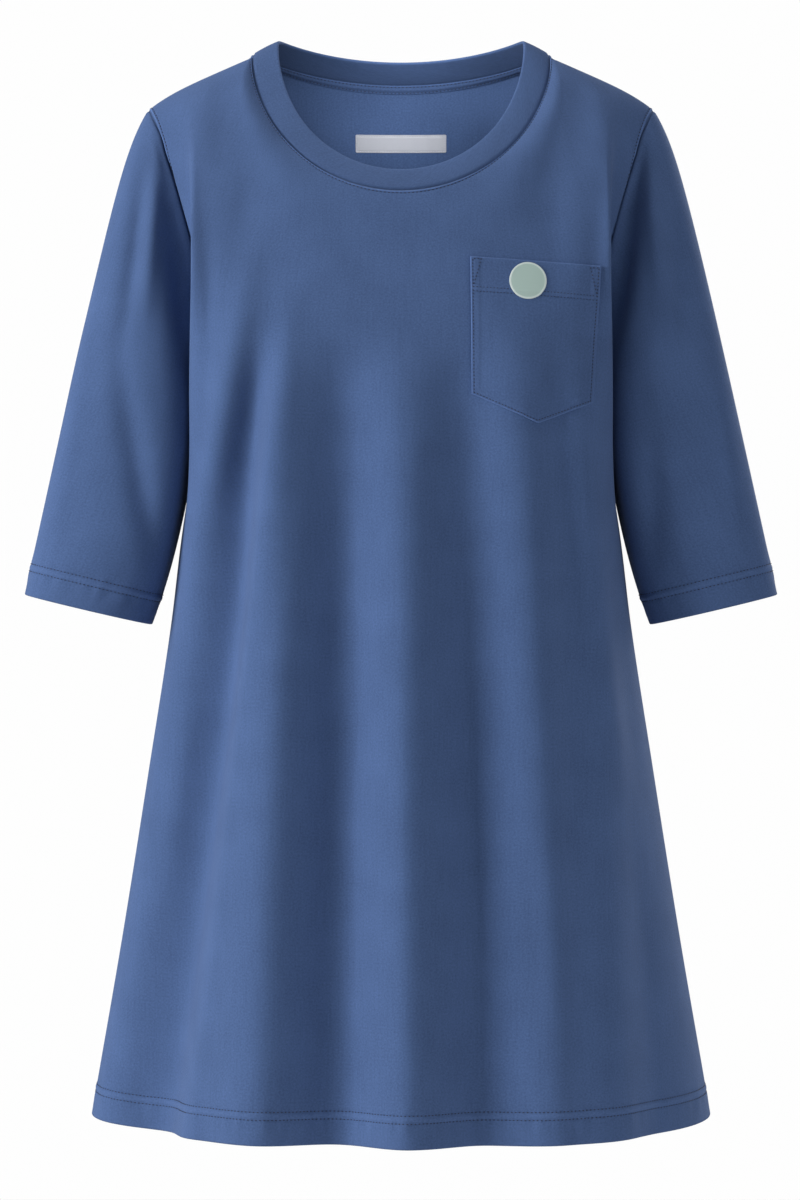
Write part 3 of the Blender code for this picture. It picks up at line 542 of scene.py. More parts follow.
def jersey_material():
    made, tree, shader = new_material("brushed_blue_jersey")
    uv = tree.nodes.new("ShaderNodeTexCoord").outputs["UV"]
    parts = linked(tree, "ShaderNodeSeparateXYZ", Vector=uv).outputs
    across, along = parts[0], parts[1]
    zigzag = math_node(tree, "PINGPONG", math_node(tree, "DIVIDE", across, WALE), 0.5)
    rib = math_node(tree, "SINE", math_node(tree, "MULTIPLY", zigzag, 2 * math.pi))
    rising = math_node(tree, "MULTIPLY_ADD", along, 1 / COURSE, zigzag)
    loop = math_node(tree, "SINE", math_node(tree, "MULTIPLY", rising, 2 * math.pi))
    knit = math_node(tree, "MULTIPLY_ADD", loop, 0.5, rib)
    nap = noise(tree, uv, 1500.0, 3.0)
    grain = noise(tree, uv, 600.0, 2.0)
    streaks = noise(tree, mapped(tree, uv, (420.0, 30.0, 1.0)), 1.0, 2.0)
    cloudy = noise(tree, uv, 22.0, 2.0)
    tone = math_node(tree, "MULTIPLY", grain, 0.60)
    for pattern, strength in ((streaks, 0.18), (cloudy, 0.30), (nap, 0.36)):
        tone = math_node(tree, "MULTIPLY_ADD", pattern, strength, tone)
    share = linked(tree, "ShaderNodeMapRange", Value=tone, From_Min=0.46, From_Max=0.98).outputs[0]
    colour = mix(tree, share, JERSEY_DARK, JERSEY_LIGHT)
    # The jersey's colour brightened by painted highlights on edges and ridges and darkened by painted shade
    # in grooves
    painted_light_and_tone = tree.nodes.new("ShaderNodeAttribute")
    painted_light_and_tone.attribute_name = "painted_light_and_tone"
    brightness = math_node(tree, "MULTIPLY_ADD", painted_light_and_tone.outputs["Fac"], PAINTED_LIGHT_STRENGTH, 1.0)
    painted_light = linked(tree, "ShaderNodeVectorMath", operation="SCALE", _0=colour, Scale=brightness).outputs[0]
    tree.links.new(painted_light, shader.inputs["Base Color"])
    knitted = bump(tree, knit, 0.35, 0.00012)
    napped = bump(tree, nap, 0.5, 0.00030, Normal=knitted)
    tree.links.new(bump(tree, cloudy, 0.35, 0.0009, Normal=napped), shader.inputs["Normal"])
    shader.inputs["Roughness"].default_value = 0.92
    shader.inputs["Specular IOR Level"].default_value = 0.22
    shader.inputs["Sheen Weight"].default_value = 0.10
    shader.inputs["Sheen Roughness"].default_value = 0.45
    shader.inputs["Sheen Tint"].default_value = (0.62, 0.74, 1.0, 1)
    return made


blue_jersey = jersey_material()

# Stitches: polyester thread of a darker blue than the cloth, sunk a little at each end
STITCH_LENGTH, STITCH_PITCH, THREAD_RADIUS = 0.0017, 0.0033, 0.00046
THREAD_PROUD = 0.35  # the share of its radius by which a stitch's middle stands off the cloth
THREAD_PALER = 1.5  # the light sides of its fibres, beside its own colour


def thread_material(name, colour):
    made, tree, shader = new_material(name)
    place = tree.nodes.new("ShaderNodeTexCoord").outputs["Object"]
    fibres = noise(tree, place, 2600.0, 2.0)
    pale = tuple(min(1.0, THREAD_PALER * c) for c in colour[:3]) + (1,)
    tree.links.new(mix(tree, fibres, colour, pale), shader.inputs["Base Color"])
    tree.links.new(bump(tree, fibres, 0.4, 0.0001), shader.inputs["Normal"])
    shader.inputs["Roughness"].default_value = 0.6
    return made


blue_thread = thread_material("blue_thread", (0.009, 0.017, 0.048, 1))


def line_at(points, normals, distances, distance):
    """The line at one distance from a piece's first row, and the way out of the cloth along it."""
    def across(values):
        return np.array([[np.interp(distance, apart, column[:, c]) for c in range(3)]
                         for apart, column in zip(distances.T, values.swapaxes(0, 1))])
    return across(points), unit(across(normals))


def sew(name, lines, thread, pitch=STITCH_PITCH, length=STITCH_LENGTH, radius=THREAD_RADIUS):
    """One stitch, modelled once and copied along each line, as one piece."""
    bpy.ops.object.select_all(action="DESELECT")
    bpy.ops.mesh.primitive_uv_sphere_add(segments=6, ring_count=5, radius=1)
    piece = bpy.context.object
    stitch = np.array([v.co for v in piece.data.vertices])[:, [2, 0, 1]] * (length / 2, radius, radius)
    faces = [tuple(f.vertices) for f in piece.data.polygons]
    centres, frames = [], []
    for line, way in lines:
        run = lengths(line, 0)
        count = max(1, int(run[-1] / pitch))
        at = (np.arange(count) + 0.5) * run[-1] / count
        spot, out, ahead = [np.stack([np.interp(at, run, values[:, c]) for c in range(3)], axis=-1)
                            for values in (line, way, np.gradient(line, axis=0))]
        out = unit(out)
        ahead = unit(ahead - (ahead * out).sum(-1, keepdims=True) * out)
        centres.append(spot + out * radius * THREAD_PROUD)
        frames.append(np.stack([ahead, np.cross(out, ahead), out], axis=1))
    centres, frames = np.concatenate(centres), np.concatenate(frames)
    placed = np.einsum("vk,nkc->nvc", stitch, frames) + centres[:, None]
    mesh = bpy.data.meshes.new(name)
    joined = [tuple(v + k * len(stitch) for v in face) for k in range(len(centres)) for face in faces]
    mesh.from_pydata(placed.reshape(-1, 3).tolist(), [], joined)
    piece.data, piece.name = mesh, name
    mesh.shade_smooth()
    mesh.materials.append(thread)
    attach(piece, "root")
    return piece


PANEL_CUT = {"front_panel": (0.660, 0.930, 0.470), "back_panel": (0.660, 0.935, 0.490)}  # width, length, area
for piece, node, outer, normals, apart in (
    (front_cloth, "front_panel", front_outer, front_normals, front_from),
    (back_cloth, "back_panel", back_outer, back_normals, back_from),
):
    piece.data.materials.append(blue_jersey)
    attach(piece, "root")
    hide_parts(node)
    width, length, area = PANEL_CUT[node]
    near_hem = [values[:NEAR_ROWS] for values in (outer, normals, apart["hem"])]
    lines = [line_at(*near_hem, row) for row in CHANNEL_ROWS]
    near_neck = [values[::-1][:NEAR_ROWS, at_neck] for values in (outer, normals, apart["top"])]
    lines.append(line_at(*near_neck, TOPSTITCH))
    for turned in (slice(None, NEAR_COLUMNS), slice(None, -NEAR_COLUMNS, -1)):
        beside = [values[at_armhole, turned].swapaxes(0, 1) for values in (outer, normals, apart["side"])]
        lines.append(line_at(*beside, TOPSTITCH))
    sew(node.replace("panel", "stitching"), lines, blue_thread)


# ---- The sleeves ------------------------------------------------------------------------------
# Three-quarter sleeves in the same jersey, set into the armholes. Each hangs from the shoulder in a
# few long soft folds, flat where it passes the body, and ends in a hem like the one below.

CUFF_INNER, CUFF_OUTER = (0.2108, -0.4825), (0.3178, -0.4570)
INNER_BOW = 0.0058  # how far the inner edge bows in towards the body
SHOULDER_ROUNDING, SHOULDER_ROUNDING_LENGTH = 0.0118, 0.07
SCOOP_FADE = 6  # how soon the armhole's scoop is lost along the sleeve
SLEEVE_LENGTH = 0.34
# Painted shade in the groove where the sleeve is set in
SLEEVE_SEAM_PAINTED_SHADE, SLEEVE_SEAM_PAINTED_SHADE_WIDTH = -0.7, 0.0011
# along, front_depth, back_depth, forward, skew (below one, the sleeve is fullest beside the body), flatness
SLEEVE_SECTIONS = (
    (0.00, 0.0350, 0.0500, 0.0000, 1.00, 1.00),
    (0.15, 0.0520, 0.0560, 0.0000, 1.00, 0.90),
    (0.40, 0.0560, 0.0560, 0.0030, 0.80, 0.62),
    (0.70, 0.0500, 0.0500, 0.0080, 0.86, 0.66),
    (1.00, 0.0430, 0.0430, 0.0120, 1.00, 0.85),
)
SLEEVE_ROWS, SLEEVE_EDGE_ROWS, SLEEVE_EDGE_STEP = 70, 10, 0.003
# Creases, both sleeves as on the wearer's left: head x, head z, foot x, foot z, bow, half_width, lift
SLEEVE_CREASES = {
    "left": {
        FRONT: (
            (0.2080, -0.050, 0.2160, -0.230, -0.002, 0.0060, 0.0036),
            (0.2085, -0.050, 0.1700, -0.290, -0.002, 0.0085, -0.0085),
            (0.2260, -0.080, 0.2420, -0.280, -0.003, 0.0085, -0.0028),
            (0.2060, -0.300, 0.2080, -0.470, 0.003, 0.0110, -0.0030),
            (0.262, -0.250, 0.292, -0.440, -0.003, 0.009, 0.0024),
        ),
        BACK: (
            (0.216, -0.060, 0.240, -0.310, -0.005, 0.010, 0.0046),
            (0.205, -0.090, 0.214, -0.300, 0.004, 0.010, -0.0050),
            (0.250, -0.190, 0.276, -0.420, 0.003, 0.010, -0.0024),
            (0.228, -0.300, 0.240, -0.455, 0.002, 0.009, 0.0020),
        ),
    },
    "right": {
        FRONT: (
            (0.2050, -0.045, 0.2140, -0.250, -0.002, 0.0060, 0.0038),
            (0.1975, -0.110, 0.1720, -0.310, -0.002, 0.0080, -0.0050),
            (0.2150, -0.070, 0.2370, -0.280, -0.002, 0.0075, -0.0045),
            (0.2400, -0.215, 0.1960, -0.465, 0.003, 0.0110, -0.0045),
            (0.2580, -0.180, 0.2960, -0.430, -0.003, 0.0090, 0.0022),
        ),
        BACK: (
            (0.218, -0.060, 0.236, -0.300, -0.005, 0.010, 0.0048),
            (0.206, -0.085, 0.210, -0.290, 0.004, 0.010, -0.0054),
            (0.244, -0.220, 0.272, -0.430, 0.004, 0.010, -0.0022),
        ),
    },
}


def sleeve():
    """The wearer's left sleeve: its outer points, in rows from the cuff up to the armhole, all round."""
    hem_shares = hem_rows / SLEEVE_LENGTH
    upper = fine_towards(1 - hem_shares[-1], 0, SLEEVE_ROWS, -SLEEVE_EDGE_STEP, SLEEVE_EDGE_ROWS)
    along = np.concatenate([1 - hem_shares, upper[1:]])
    tip = shoulder_seam(1.0, 1)
    cubic_peak = 4 / 27  # the highest value of t * t * (1 - t)
    inner_x = UNDERARM_HALF_WIDTH + (CUFF_INNER[0] - UNDERARM_HALF_WIDTH) * along
    inner_x = inner_x - INNER_BOW * along**2 * (1 - along) / cubic_peak
    inner_z = UNDERARM_HEIGHT + (CUFF_INNER[1] - UNDERARM_HEIGHT) * along
    rounding = SHOULDER_ROUNDING * (1 - np.exp(-along / SHOULDER_ROUNDING_LENGTH) - along)
    outer_x = tip[0] + (CUFF_OUTER[0] - tip[0]) * along + rounding
    outer_z = tip[2] + (CUFF_OUTER[1] - tip[2]) * along
    places, *columns = np.array(SLEEVE_SECTIONS).T
    columns = [through(along, places, column)[:, None] for column in columns]
    front_depth, back_depth, forward, skew, flatness = columns
    halves = []
    for side, depth, s in ((FRONT, front_depth, yoke_shares), (BACK, back_depth, yoke_shares[-2::-1])):
        scoop = ARMHOLE_SCOOP[side] * np.sin(math.pi * s) * ((1 - along) ** SCOOP_FADE)[:, None]
        x = inner_x[:, None] + (outer_x - inner_x)[:, None] * ease(s) - scoop
        z = inner_z[:, None] + (outer_z - inner_z)[:, None] * ease(s)
        fullness = s**skew
        y = side * depth * np.maximum(4 * fullness * (1 - fullness), 0) ** flatness - forward
        halves.append(np.stack([x, y, z], axis=-1))
    return np.concatenate(halves, axis=1)


def sleeve_piece(name, hand, creases):
    """A sleeve set into its armhole, with its creases and its hem."""
    points = sleeve()
    normals = grid_normals(points, 1, closed=True)
    from_armhole = lengths_back(points, 0)
    lift = sum(crease_lift(points, normals, side, creases[side]) for side in (FRONT, BACK))
    points = points + (lift * ease(from_armhole / CREASE_CLEAR))[..., None] * normals
    normals = grid_normals(points, 1, closed=True)
    own = normals[-1].copy()
    agree = ease((own * sleeve_seam_way).sum(-1, keepdims=True) / FOLDED_SEAM)
    shared = unit((1 - agree) * own + agree * sleeve_seam_way)
    near = line_of(from_armhole, 0, SHARED_REACH)[..., None]
    normals = unit(normals + near * (shared - own)[None])
    points[-1] -= (1 - agree) * FOLDED_TUCK * own
    draw_back(points, (-1, slice(None)), (-2, slice(None)))
    from_armhole, from_cuff = lengths_back(points, 0), lengths(points, 0)
    around = lengths(points, 1)
    thickness = WALL + WALL * until(from_cuff, HEM_DEPTH)
    edge = rounded_edge(from_cuff, thickness)
    seam = ALLOWANCE_WALL * until(from_armhole, ALLOWANCE)
    lift = seam_groove(from_armhole) + hem_relief(from_cuff, around)
    outer = points + (lift - edge)[..., None] * normals
    inner = points + (edge - thickness - seam)[..., None] * normals
    uv = np.stack([around, from_cuff], axis=-1)
    way = slice(None, None, hand)
    outer, inner, normals = outer * (hand, 1, 1), inner * (hand, 1, 1), normals * (hand, 1, 1)
    painted_light_and_tone = hem_painted_light_and_shade(from_cuff) + SLEEVE_SEAM_PAINTED_SHADE * line_of(from_armhole, 0, SLEEVE_SEAM_PAINTED_SHADE_WIDTH)
    piece = cloth_piece(name, outer[:, way], inner[:, way], uv[:, way], painted_light_and_tone[:, way], closed=True)
    near_hem = [values[:NEAR_ROWS] for values in (outer, normals, from_cuff)]
    return piece, [line_at(*near_hem, row) for row in CHANNEL_ROWS]


for hand, side_name in ((1, "left"), (-1, "right")):
    cloth, lines = sleeve_piece(f"{side_name}_sleeve_cloth", hand, SLEEVE_CREASES[side_name])
    cloth.data.materials.append(blue_jersey)
    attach(cloth, "root")
    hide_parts(f"sleeve_{side_name}")
    sew(f"{side_name}_cuff_stitching", lines, blue_thread)


# ---- The neckband -----------------------------------------------------------------------------
# A strip of the same jersey, folded in half along its length and sewn into the neckline all round,
# a little short, so that it leans in. The seam sinks between it and the body.

BAND_WALL = 0.0026
BAND_HALF_WIDTH, BAND_FRONT_DEPTH, BAND_BACK_DEPTH = 0.1045, 0.069, 0.060
BAND_RISE = {"front": 0.0190, "side": 0.0107, "back": 0.0163}
BAND_CROWN = 0.0006  # how far the folded strip rounds out between its seam and its fold
BAND_SHARED_REACH = 0.006
# The band is darker all over, with a painted highlight along its fold
BAND_TINT, BAND_FOLD_PAINTED_HIGHLIGHT, BAND_FOLD_PAINTED_HIGHLIGHT_WIDTH = -0.26, 0.30, 0.0012
BAND_SHARES = (0, 0.02, 0.05, 0.09, 0.14, 0.22, 0.32, 0.43, 0.54, 0.65, 0.75, 0.84, 0.91, 0.955, 0.98, 1)


def neckband_piece(name):
    """The band's two faces, from the neck seam up to the fold, all round."""
    turn = neck_columns / NECK_SHARE * math.pi / 2
    angle = np.concatenate([turn, math.pi - turn[-2::-1]])
    seam = neck_seam(angle)
    c, s = np.cos(angle), np.sin(angle)
    rise = np.where(c > 0, BAND_RISE["front"], BAND_RISE["back"]) * c**2 + BAND_RISE["side"] * s**2
    depth = np.where(c > 0, BAND_FRONT_DEPTH, BAND_BACK_DEPTH)
    fold = np.stack([BAND_HALF_WIDTH * s, -depth * c, seam[:, 2] + rise], axis=-1)
    share = np.array(BAND_SHARES)[:, None]
    points = seam + (fold - seam) * share[..., None]
    draw_back(points, (0, slice(None)), (1, slice(None)))
    normals = grid_normals(points, 1, closed=True)
    from_seam, from_fold = lengths(points, 0), lengths_back(points, 0)
    near = line_of(from_seam, 0, BAND_SHARED_REACH)[..., None]
    normals = unit(normals + near * (neck_way - normals[0])[None])
    edge = rounded_edge(from_fold, BAND_WALL)
    crown = BAND_CROWN * 4 * share * (1 - share)
    outer = points + (seam_groove(from_seam) + crown - edge)[..., None] * normals
    inner = points + (edge - BAND_WALL - crown / 2)[..., None] * normals
    uv = np.stack([lengths(points, 1), from_seam], axis=-1)
    painted_light_and_tone = BAND_FOLD_PAINTED_HIGHLIGHT * line_of(from_fold, 0, BAND_FOLD_PAINTED_HIGHLIGHT_WIDTH)
    painted_light_and_tone = painted_light_and_tone + GROOVE_PAINTED_SHADE * line_of(from_seam, 0, GROOVE_PAINTED_SHADE_WIDTH) + BAND_TINT
    return cloth_piece(name, outer, inner, uv, painted_light_and_tone, closed=True)


neckband_cloth = neckband_piece("neckband_cloth")
neckband_cloth.data.materials.append(blue_jersey)
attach(neckband_cloth, "root")
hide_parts("neckband")


# ---- The neck tape ----------------------------------------------------------------------------
# A folded strip of the jersey that covers the seam inside the back of the neck, stitched down along
# both of its edges.

TAPE_WIDTH, TAPE_WALL = 0.0082, 0.0009
TAPE_REACH = 0.75  # the share of the back neckline that it covers
TAPE_START = 0.0004  # below the neck seam
TAPE_ROWS = np.array([0, 0.0002, 0.0006, 0.0012, 0.0022, 0.0034,
                      0.0048, 0.0060, 0.0070, 0.0076, 0.0080, 0.0082])
TAPE_STITCHING = (0.0012, 0.0070)
TAPE_DIP, TAPE_LINE_WIDTH = 0.00018, 0.0006
# A painted highlight along the tape's folded edges and painted shade in its stitch dips
TAPE_EDGE_PAINTED_HIGHLIGHT, TAPE_DIP_PAINTED_SHADE = 0.5, 0.2

taped = np.abs(panel_columns) <= NECK_SHARE * TAPE_REACH
under = [values[::-1][:NEAR_ROWS, taped] for values in (back_inner, -back_normals, back_from["top"])]
tape_lines = [line_at(*under, TAPE_START + row) for row in TAPE_ROWS]
tape_points, tape_ways = (np.stack([line[k] for line in tape_lines]) for k in (0, 1))
edge = rounded_edge(np.minimum(TAPE_ROWS, TAPE_WIDTH - TAPE_ROWS), TAPE_WALL)[:, None, None]
dips = sum(line_of(TAPE_ROWS, row, TAPE_LINE_WIDTH) for row in TAPE_STITCHING)
lower = tape_points + tape_ways * (SEAM_GAP + edge)
upper = tape_points + tape_ways * (SEAM_GAP + TAPE_WALL - edge - TAPE_DIP * dips[:, None, None])
tape_uv = np.stack([lengths(upper, 1), lengths(upper, 0)], axis=-1)
tape_painted_light_and_shade = TAPE_EDGE_PAINTED_HIGHLIGHT * sum(line_of(TAPE_ROWS, row, TAPE_LINE_WIDTH) for row in (0, TAPE_WIDTH))
tape_painted_light_and_shade = (tape_painted_light_and_shade - TAPE_DIP_PAINTED_SHADE * dips)[::-1, None]
neck_tape = cloth_piece("neck_tape_cloth", upper[::-1], lower[::-1], tape_uv[::-1], tape_painted_light_and_shade)
neck_tape.data.materials.append(blue_jersey)
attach(neck_tape, "root")
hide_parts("neck_tape")
stitched_rows = [k for k, row in enumerate(TAPE_ROWS) if row in TAPE_STITCHING]
sew("neck_tape_stitching", [(upper[k], tape_ways[k]) for k in stitched_rows], blue_thread)


# ---- The chest pocket -------------------------------------------------------------------------
# A patch pocket on the wearer's left: jersey with a turned top edge held by two rows of stitching, its
# other edges pressed under and topstitched to the chest, and small triangles sewn at the top corners.

POCKET_TOP_INNER, POCKET_TOP_OUTER = (0.0565, -0.1812), (0.1645, -0.1873)
POCKET_LOW_INNER, POCKET_LOW_OUTER = (0.0575, -0.2942), (0.1568, -0.3002)
POCKET_POINT = (0.1110, -0.3182)
POCKET_WALL, POCKET_EDGE_WALL = 0.0012, 0.0020
POCKET_FULLNESS = 0.0016  # how far its middle stands off the chest
POCKET_HEM, HEM_STEP, HEM_STEP_SOFTNESS = 0.0296, 0.00050, 0.0012  # the turned top, a little thicker
ALLOWANCE_TURNED, TURNED_STEP, TURNED_SOFTNESS = 0.0075, 0.00040, 0.0030  # and the edges turned under
POCKET_HEM_ROWS, POCKET_ROW_DIP, POCKET_LINE_WIDTH = (0.0252, 0.0286), 0.00020, 0.0008
POCKET_RIDGE, POCKET_RIDGE_WIDTH, POCKET_ROWS_FADE = 0.00035, 0.0016, 0.003
POCKET_STITCH, POCKET_STITCH_DIP = 0.0019, 0.00028
# Painted highlights on the pocket's pressed edges and its hem ridge, and painted light along its stitch line
# and hem rows
POCKET_EDGE_PAINTED_HIGHLIGHT, POCKET_EDGE_PAINTED_HIGHLIGHT_WIDTH = 0.7, 0.0009
POCKET_STITCH_PAINTED_LIGHT, POCKET_STITCH_PAINTED_LIGHT_WIDTH = 0.10, 0.0007
POCKET_RIDGE_PAINTED_HIGHLIGHT, POCKET_ROW_PAINTED_LIGHT = 0.10, 0.05
CORNER_RUN, CORNER_DROP = 0.009, 0.024  # the triangles: along the top edge, and down the side
POCKET_COLUMNS, POCKET_ROWS = 96, 110
LINE_STEPS = 24  # points on each leg of a stitched line
FOOT_RISE, POINT_RISE = 0.7, 1.1  # how far the stitching rises at each corner of the foot, in POCKET_STITCH
TOP_DROP, TRIANGLE_DROP, TRIANGLE_INSET, HEM_ROW_INSET = 0.0016, 0.0018, 0.0004, 0.0010
IN_FRONT = -1.0  # a place in front of the whole shirt


def crowded_ends(count, crowd=0.6):
    """0 to 1, closer together at both ends."""
    t = np.linspace(0, 1, count)
    return (1 - crowd) * t + crowd * ease(t)


def laid_on(carrier, places, start):
    """The points of a grid of (x, z) on a piece, as seen from start, a place on Y, towards the back."""
    bpy.context.view_layer.update()
    found = [[carrier.ray_cast((x, start, z), (0, 1, 0)) for x, z in row] for row in places]
    if not all(spot[0] for row in found for spot in row):
        raise ValueError(f"{carrier.name} doesn't lie under every place")
    return np.array([[spot[1] for spot in row] for row in found])


across = crowded_ends(POCKET_COLUMNS)[:, None]
top = np.array(POCKET_TOP_INNER) + (np.array(POCKET_TOP_OUTER) - POCKET_TOP_INNER) * across
point_share = (POCKET_POINT[0] - POCKET_LOW_INNER[0]) / (POCKET_LOW_OUTER[0] - POCKET_LOW_INNER[0])
foot = np.array(POCKET_LOW_INNER) + (np.array(POCKET_LOW_OUTER) - POCKET_LOW_INNER) * across
point_drop = POCKET_LOW_INNER[1] + (POCKET_LOW_OUTER[1] - POCKET_LOW_INNER[1]) * point_share - POCKET_POINT[1]
foot[:, 1] -= point_drop * np.minimum(across / point_share, (1 - across) / (1 - point_share))[:, 0]
up = crowded_ends(POCKET_ROWS)[:, None, None]
pocket_places = foot + (top - foot) * up
pocket_base = laid_on(front_cloth, pocket_places, IN_FRONT)
pocket_ways = grid_normals(pocket_base, 1)
sides = from_both(pocket_base, 1)
from_foot, from_top = lengths(pocket_base, 0), lengths_back(pocket_base, 0)
from_sewn = np.minimum(sides, from_foot)
from_edge = np.minimum(from_sewn, from_top)
swell = np.clip(16 * across[:, 0] * (1 - across[:, 0]) * up[..., 0] * (1 - up[..., 0]), 0, 1)
inside = ease(sides / POCKET_ROWS_FADE)
hem_dips = sum(line_of(from_top, row, POCKET_LINE_WIDTH) for row in POCKET_HEM_ROWS) * inside
hem_ridge = line_of(from_top, sum(POCKET_HEM_ROWS) / 2, POCKET_RIDGE_WIDTH) * inside
relief = HEM_STEP * until(from_top, POCKET_HEM, HEM_STEP_SOFTNESS)
relief += TURNED_STEP * until(from_sewn, ALLOWANCE_TURNED, TURNED_SOFTNESS)
relief += POCKET_RIDGE * hem_ridge - POCKET_ROW_DIP * hem_dips
relief -= POCKET_STITCH_DIP * line_of(from_sewn, POCKET_STITCH, POCKET_LINE_WIDTH)
edge = rounded_edge(from_edge, POCKET_EDGE_WALL)
pocket_inner = pocket_base + (SEAM_GAP + POCKET_FULLNESS * swell)[..., None] * pocket_ways
pocket_outer = pocket_inner + (POCKET_WALL + relief - edge)[..., None] * pocket_ways
pocket_uv = np.stack([lengths(pocket_base, 1), from_foot], axis=-1)
pocket_painted_light = POCKET_EDGE_PAINTED_HIGHLIGHT * line_of(from_edge, 0, POCKET_EDGE_PAINTED_HIGHLIGHT_WIDTH)
pocket_painted_light += POCKET_STITCH_PAINTED_LIGHT * line_of(from_sewn, POCKET_STITCH, POCKET_STITCH_PAINTED_LIGHT_WIDTH)
pocket_painted_light += POCKET_RIDGE_PAINTED_HIGHLIGHT * hem_ridge + POCKET_ROW_PAINTED_LIGHT * hem_dips
pocket = cloth_piece("pocket_cloth", pocket_outer, pocket_inner, pocket_uv, pocket_painted_light)
pocket.data.materials.append(blue_jersey)
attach(pocket, "root")
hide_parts("chest_pocket")


def pocket_line(corners):
    """A line drawn on the pocket from corner to corner, and the way out of the cloth along it."""
    last = len(corners) - 1
    legs = [np.linspace(k, k + 1, LINE_STEPS, endpoint=False) for k in range(last)]
    steps = np.concatenate(legs + [[last]])
    places = np.stack([np.interp(steps, range(last + 1), values) for values in zip(*corners)], axis=-1)
    line = laid_on(pocket, [places], IN_FRONT)[0]
    nearest = [np.argmin(((pocket_outer - spot) ** 2).sum(-1)) for spot in line]
    return line, pocket_ways.reshape(-1, 3)[nearest]


def pocket_spot(u, v, inset_x, inset_z=0.0):
    """A place on the pocket at shares of its width and height, moved in from its edges."""
    i, j = np.argmin(np.abs(up[:, 0, 0] - v)), np.argmin(np.abs(across[:, 0] - u))
    x, z = pocket_places[i, j]
    return x + inset_x, z + inset_z


inset = POCKET_STITCH
pocket_lines = [pocket_line([
    pocket_spot(0, 1, inset, -TOP_DROP),
    pocket_spot(0, 0, inset, inset * FOOT_RISE),
    pocket_spot(point_share, 0, 0, inset * POINT_RISE),
    pocket_spot(1, 0, -inset, inset * FOOT_RISE),
    pocket_spot(1, 1, -inset, -TOP_DROP),
])]
pocket_height = POCKET_TOP_INNER[1] - POCKET_LOW_INNER[1]
for u, inward in ((0, 1), (1, -1)):
    pocket_lines.append(pocket_line([
        pocket_spot(u, 1, inward * inset, -TRIANGLE_DROP),
        pocket_spot(u, 1, inward * CORNER_RUN, -TRIANGLE_DROP),
        pocket_spot(u, 1 - CORNER_DROP / pocket_height, inward * (inset + TRIANGLE_INSET)),
    ]))
sew("pocket_stitching", pocket_lines, blue_thread, length=0.0015, pitch=0.0028)
row_shares = [1 - row / pocket_height for row in POCKET_HEM_ROWS]
hem_lines = [pocket_line([pocket_spot(0, share, HEM_ROW_INSET), pocket_spot(1, share, -HEM_ROW_INSET)])
             for share in row_shares]
sew("pocket_hem_stitching", hem_lines, blue_thread, length=0.0014, pitch=0.0028, radius=0.00034)


# ---- The pocket badge -------------------------------------------------------------------------
# A thin round transfer pressed onto the pocket: a plain sage disc inside a paler rim.

BADGE_CENTRE, BADGE_RADIUS, BADGE_WALL = (0.1036, -0.2008), 0.0153, 0.0006
BADGE_SAGE, BADGE_RIM = (0.405, 0.545, 0.505, 1), (0.62, 0.72, 0.70, 1)
BADGE_RIM_START, BADGE_RIM_STEP = 0.90, 0.00012
BADGE_RIM_SOFTNESS = 0.02  # in shares of the radius
BADGE_COLUMNS = 40

side = np.linspace(-1, 1, BADGE_COLUMNS + 1)
u, v = np.meshgrid(side, side)
disc = np.stack([u * np.sqrt(1 - v * v / 2), v * np.sqrt(1 - u * u / 2)], axis=-1)
badge_base = laid_on(pocket, np.array(BADGE_CENTRE) + BADGE_RADIUS * disc, IN_FRONT)
badge_ways = grid_normals(badge_base, 1)
radius = np.linalg.norm(disc, axis=-1)
edge = rounded_edge((1 - radius) * BADGE_RADIUS, BADGE_WALL)
rim = BADGE_RIM_STEP * ease((radius - BADGE_RIM_START) / BADGE_RIM_SOFTNESS)
badge_inner = badge_base + SEAM_GAP / 2 * badge_ways
badge_outer = badge_inner + (BADGE_WALL + rim - edge)[..., None] * badge_ways
badge = cloth_piece("badge_disc", badge_outer, badge_inner, disc, 0)


def badge_material():
    """Sage inside a paler rim. The badge's own UV map has its middle at zero and its edge at one."""
    made, tree, shader = new_material("sage_transfer")
    place = tree.nodes.new("ShaderNodeTexCoord").outputs["UV"]
    out = linked(tree, "ShaderNodeVectorMath", operation="LENGTH", _0=place).outputs["Value"]
    to_rim = linked(tree, "ShaderNodeMapRange", Value=out, From_Min=BADGE_RIM_START - BADGE_RIM_SOFTNESS / 2,
                    From_Max=BADGE_RIM_START + BADGE_RIM_SOFTNESS / 2).outputs[0]
    share = math_node(tree, "MULTIPLY_ADD", noise(tree, place, 30.0, 3.0), 0.12, to_rim)
    tree.links.new(mix(tree, share, BADGE_SAGE, BADGE_RIM), shader.inputs["Base Color"])
    tree.links.new(bump(tree, noise(tree, place, 60.0), 0.25, 0.0001), shader.inputs["Normal"])
    shader.inputs["Roughness"].default_value = 0.55
    return made


badge.data.materials.append(badge_material())
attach(badge, "root")
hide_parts("pocket_badge")


# ---- The name label ---------------------------------------------------------------------------
# A pale strip of woven satin, plain on its face, its ends cut with heat. It is sewn by its edges
# inside the back panel, below the neck tape.

LABEL_HALF_WIDTH, LABEL_TOP, LABEL_FOOT, LABEL_WALL = 0.0400, -0.0520, -0.0675, 0.0006
LABEL_CORNER = 0.0012
LABEL_COLUMNS, LABEL_ROWS = 100, 26
LABEL_STITCH, LABEL_DIP, LABEL_DIP_WIDTH = 0.0012, 0.00025, 0.0006
LABEL_RIPPLE, LABEL_RIPPLE_SIZE, LABEL_RIPPLE_FADE = 0.00012, 0.0021, 0.003
LABEL_PALE, LABEL_SHADE = (0.52, 0.54, 0.60, 1), (0.44, 0.46, 0.52, 1)
INSIDE = 0.0  # a place inside the shirt

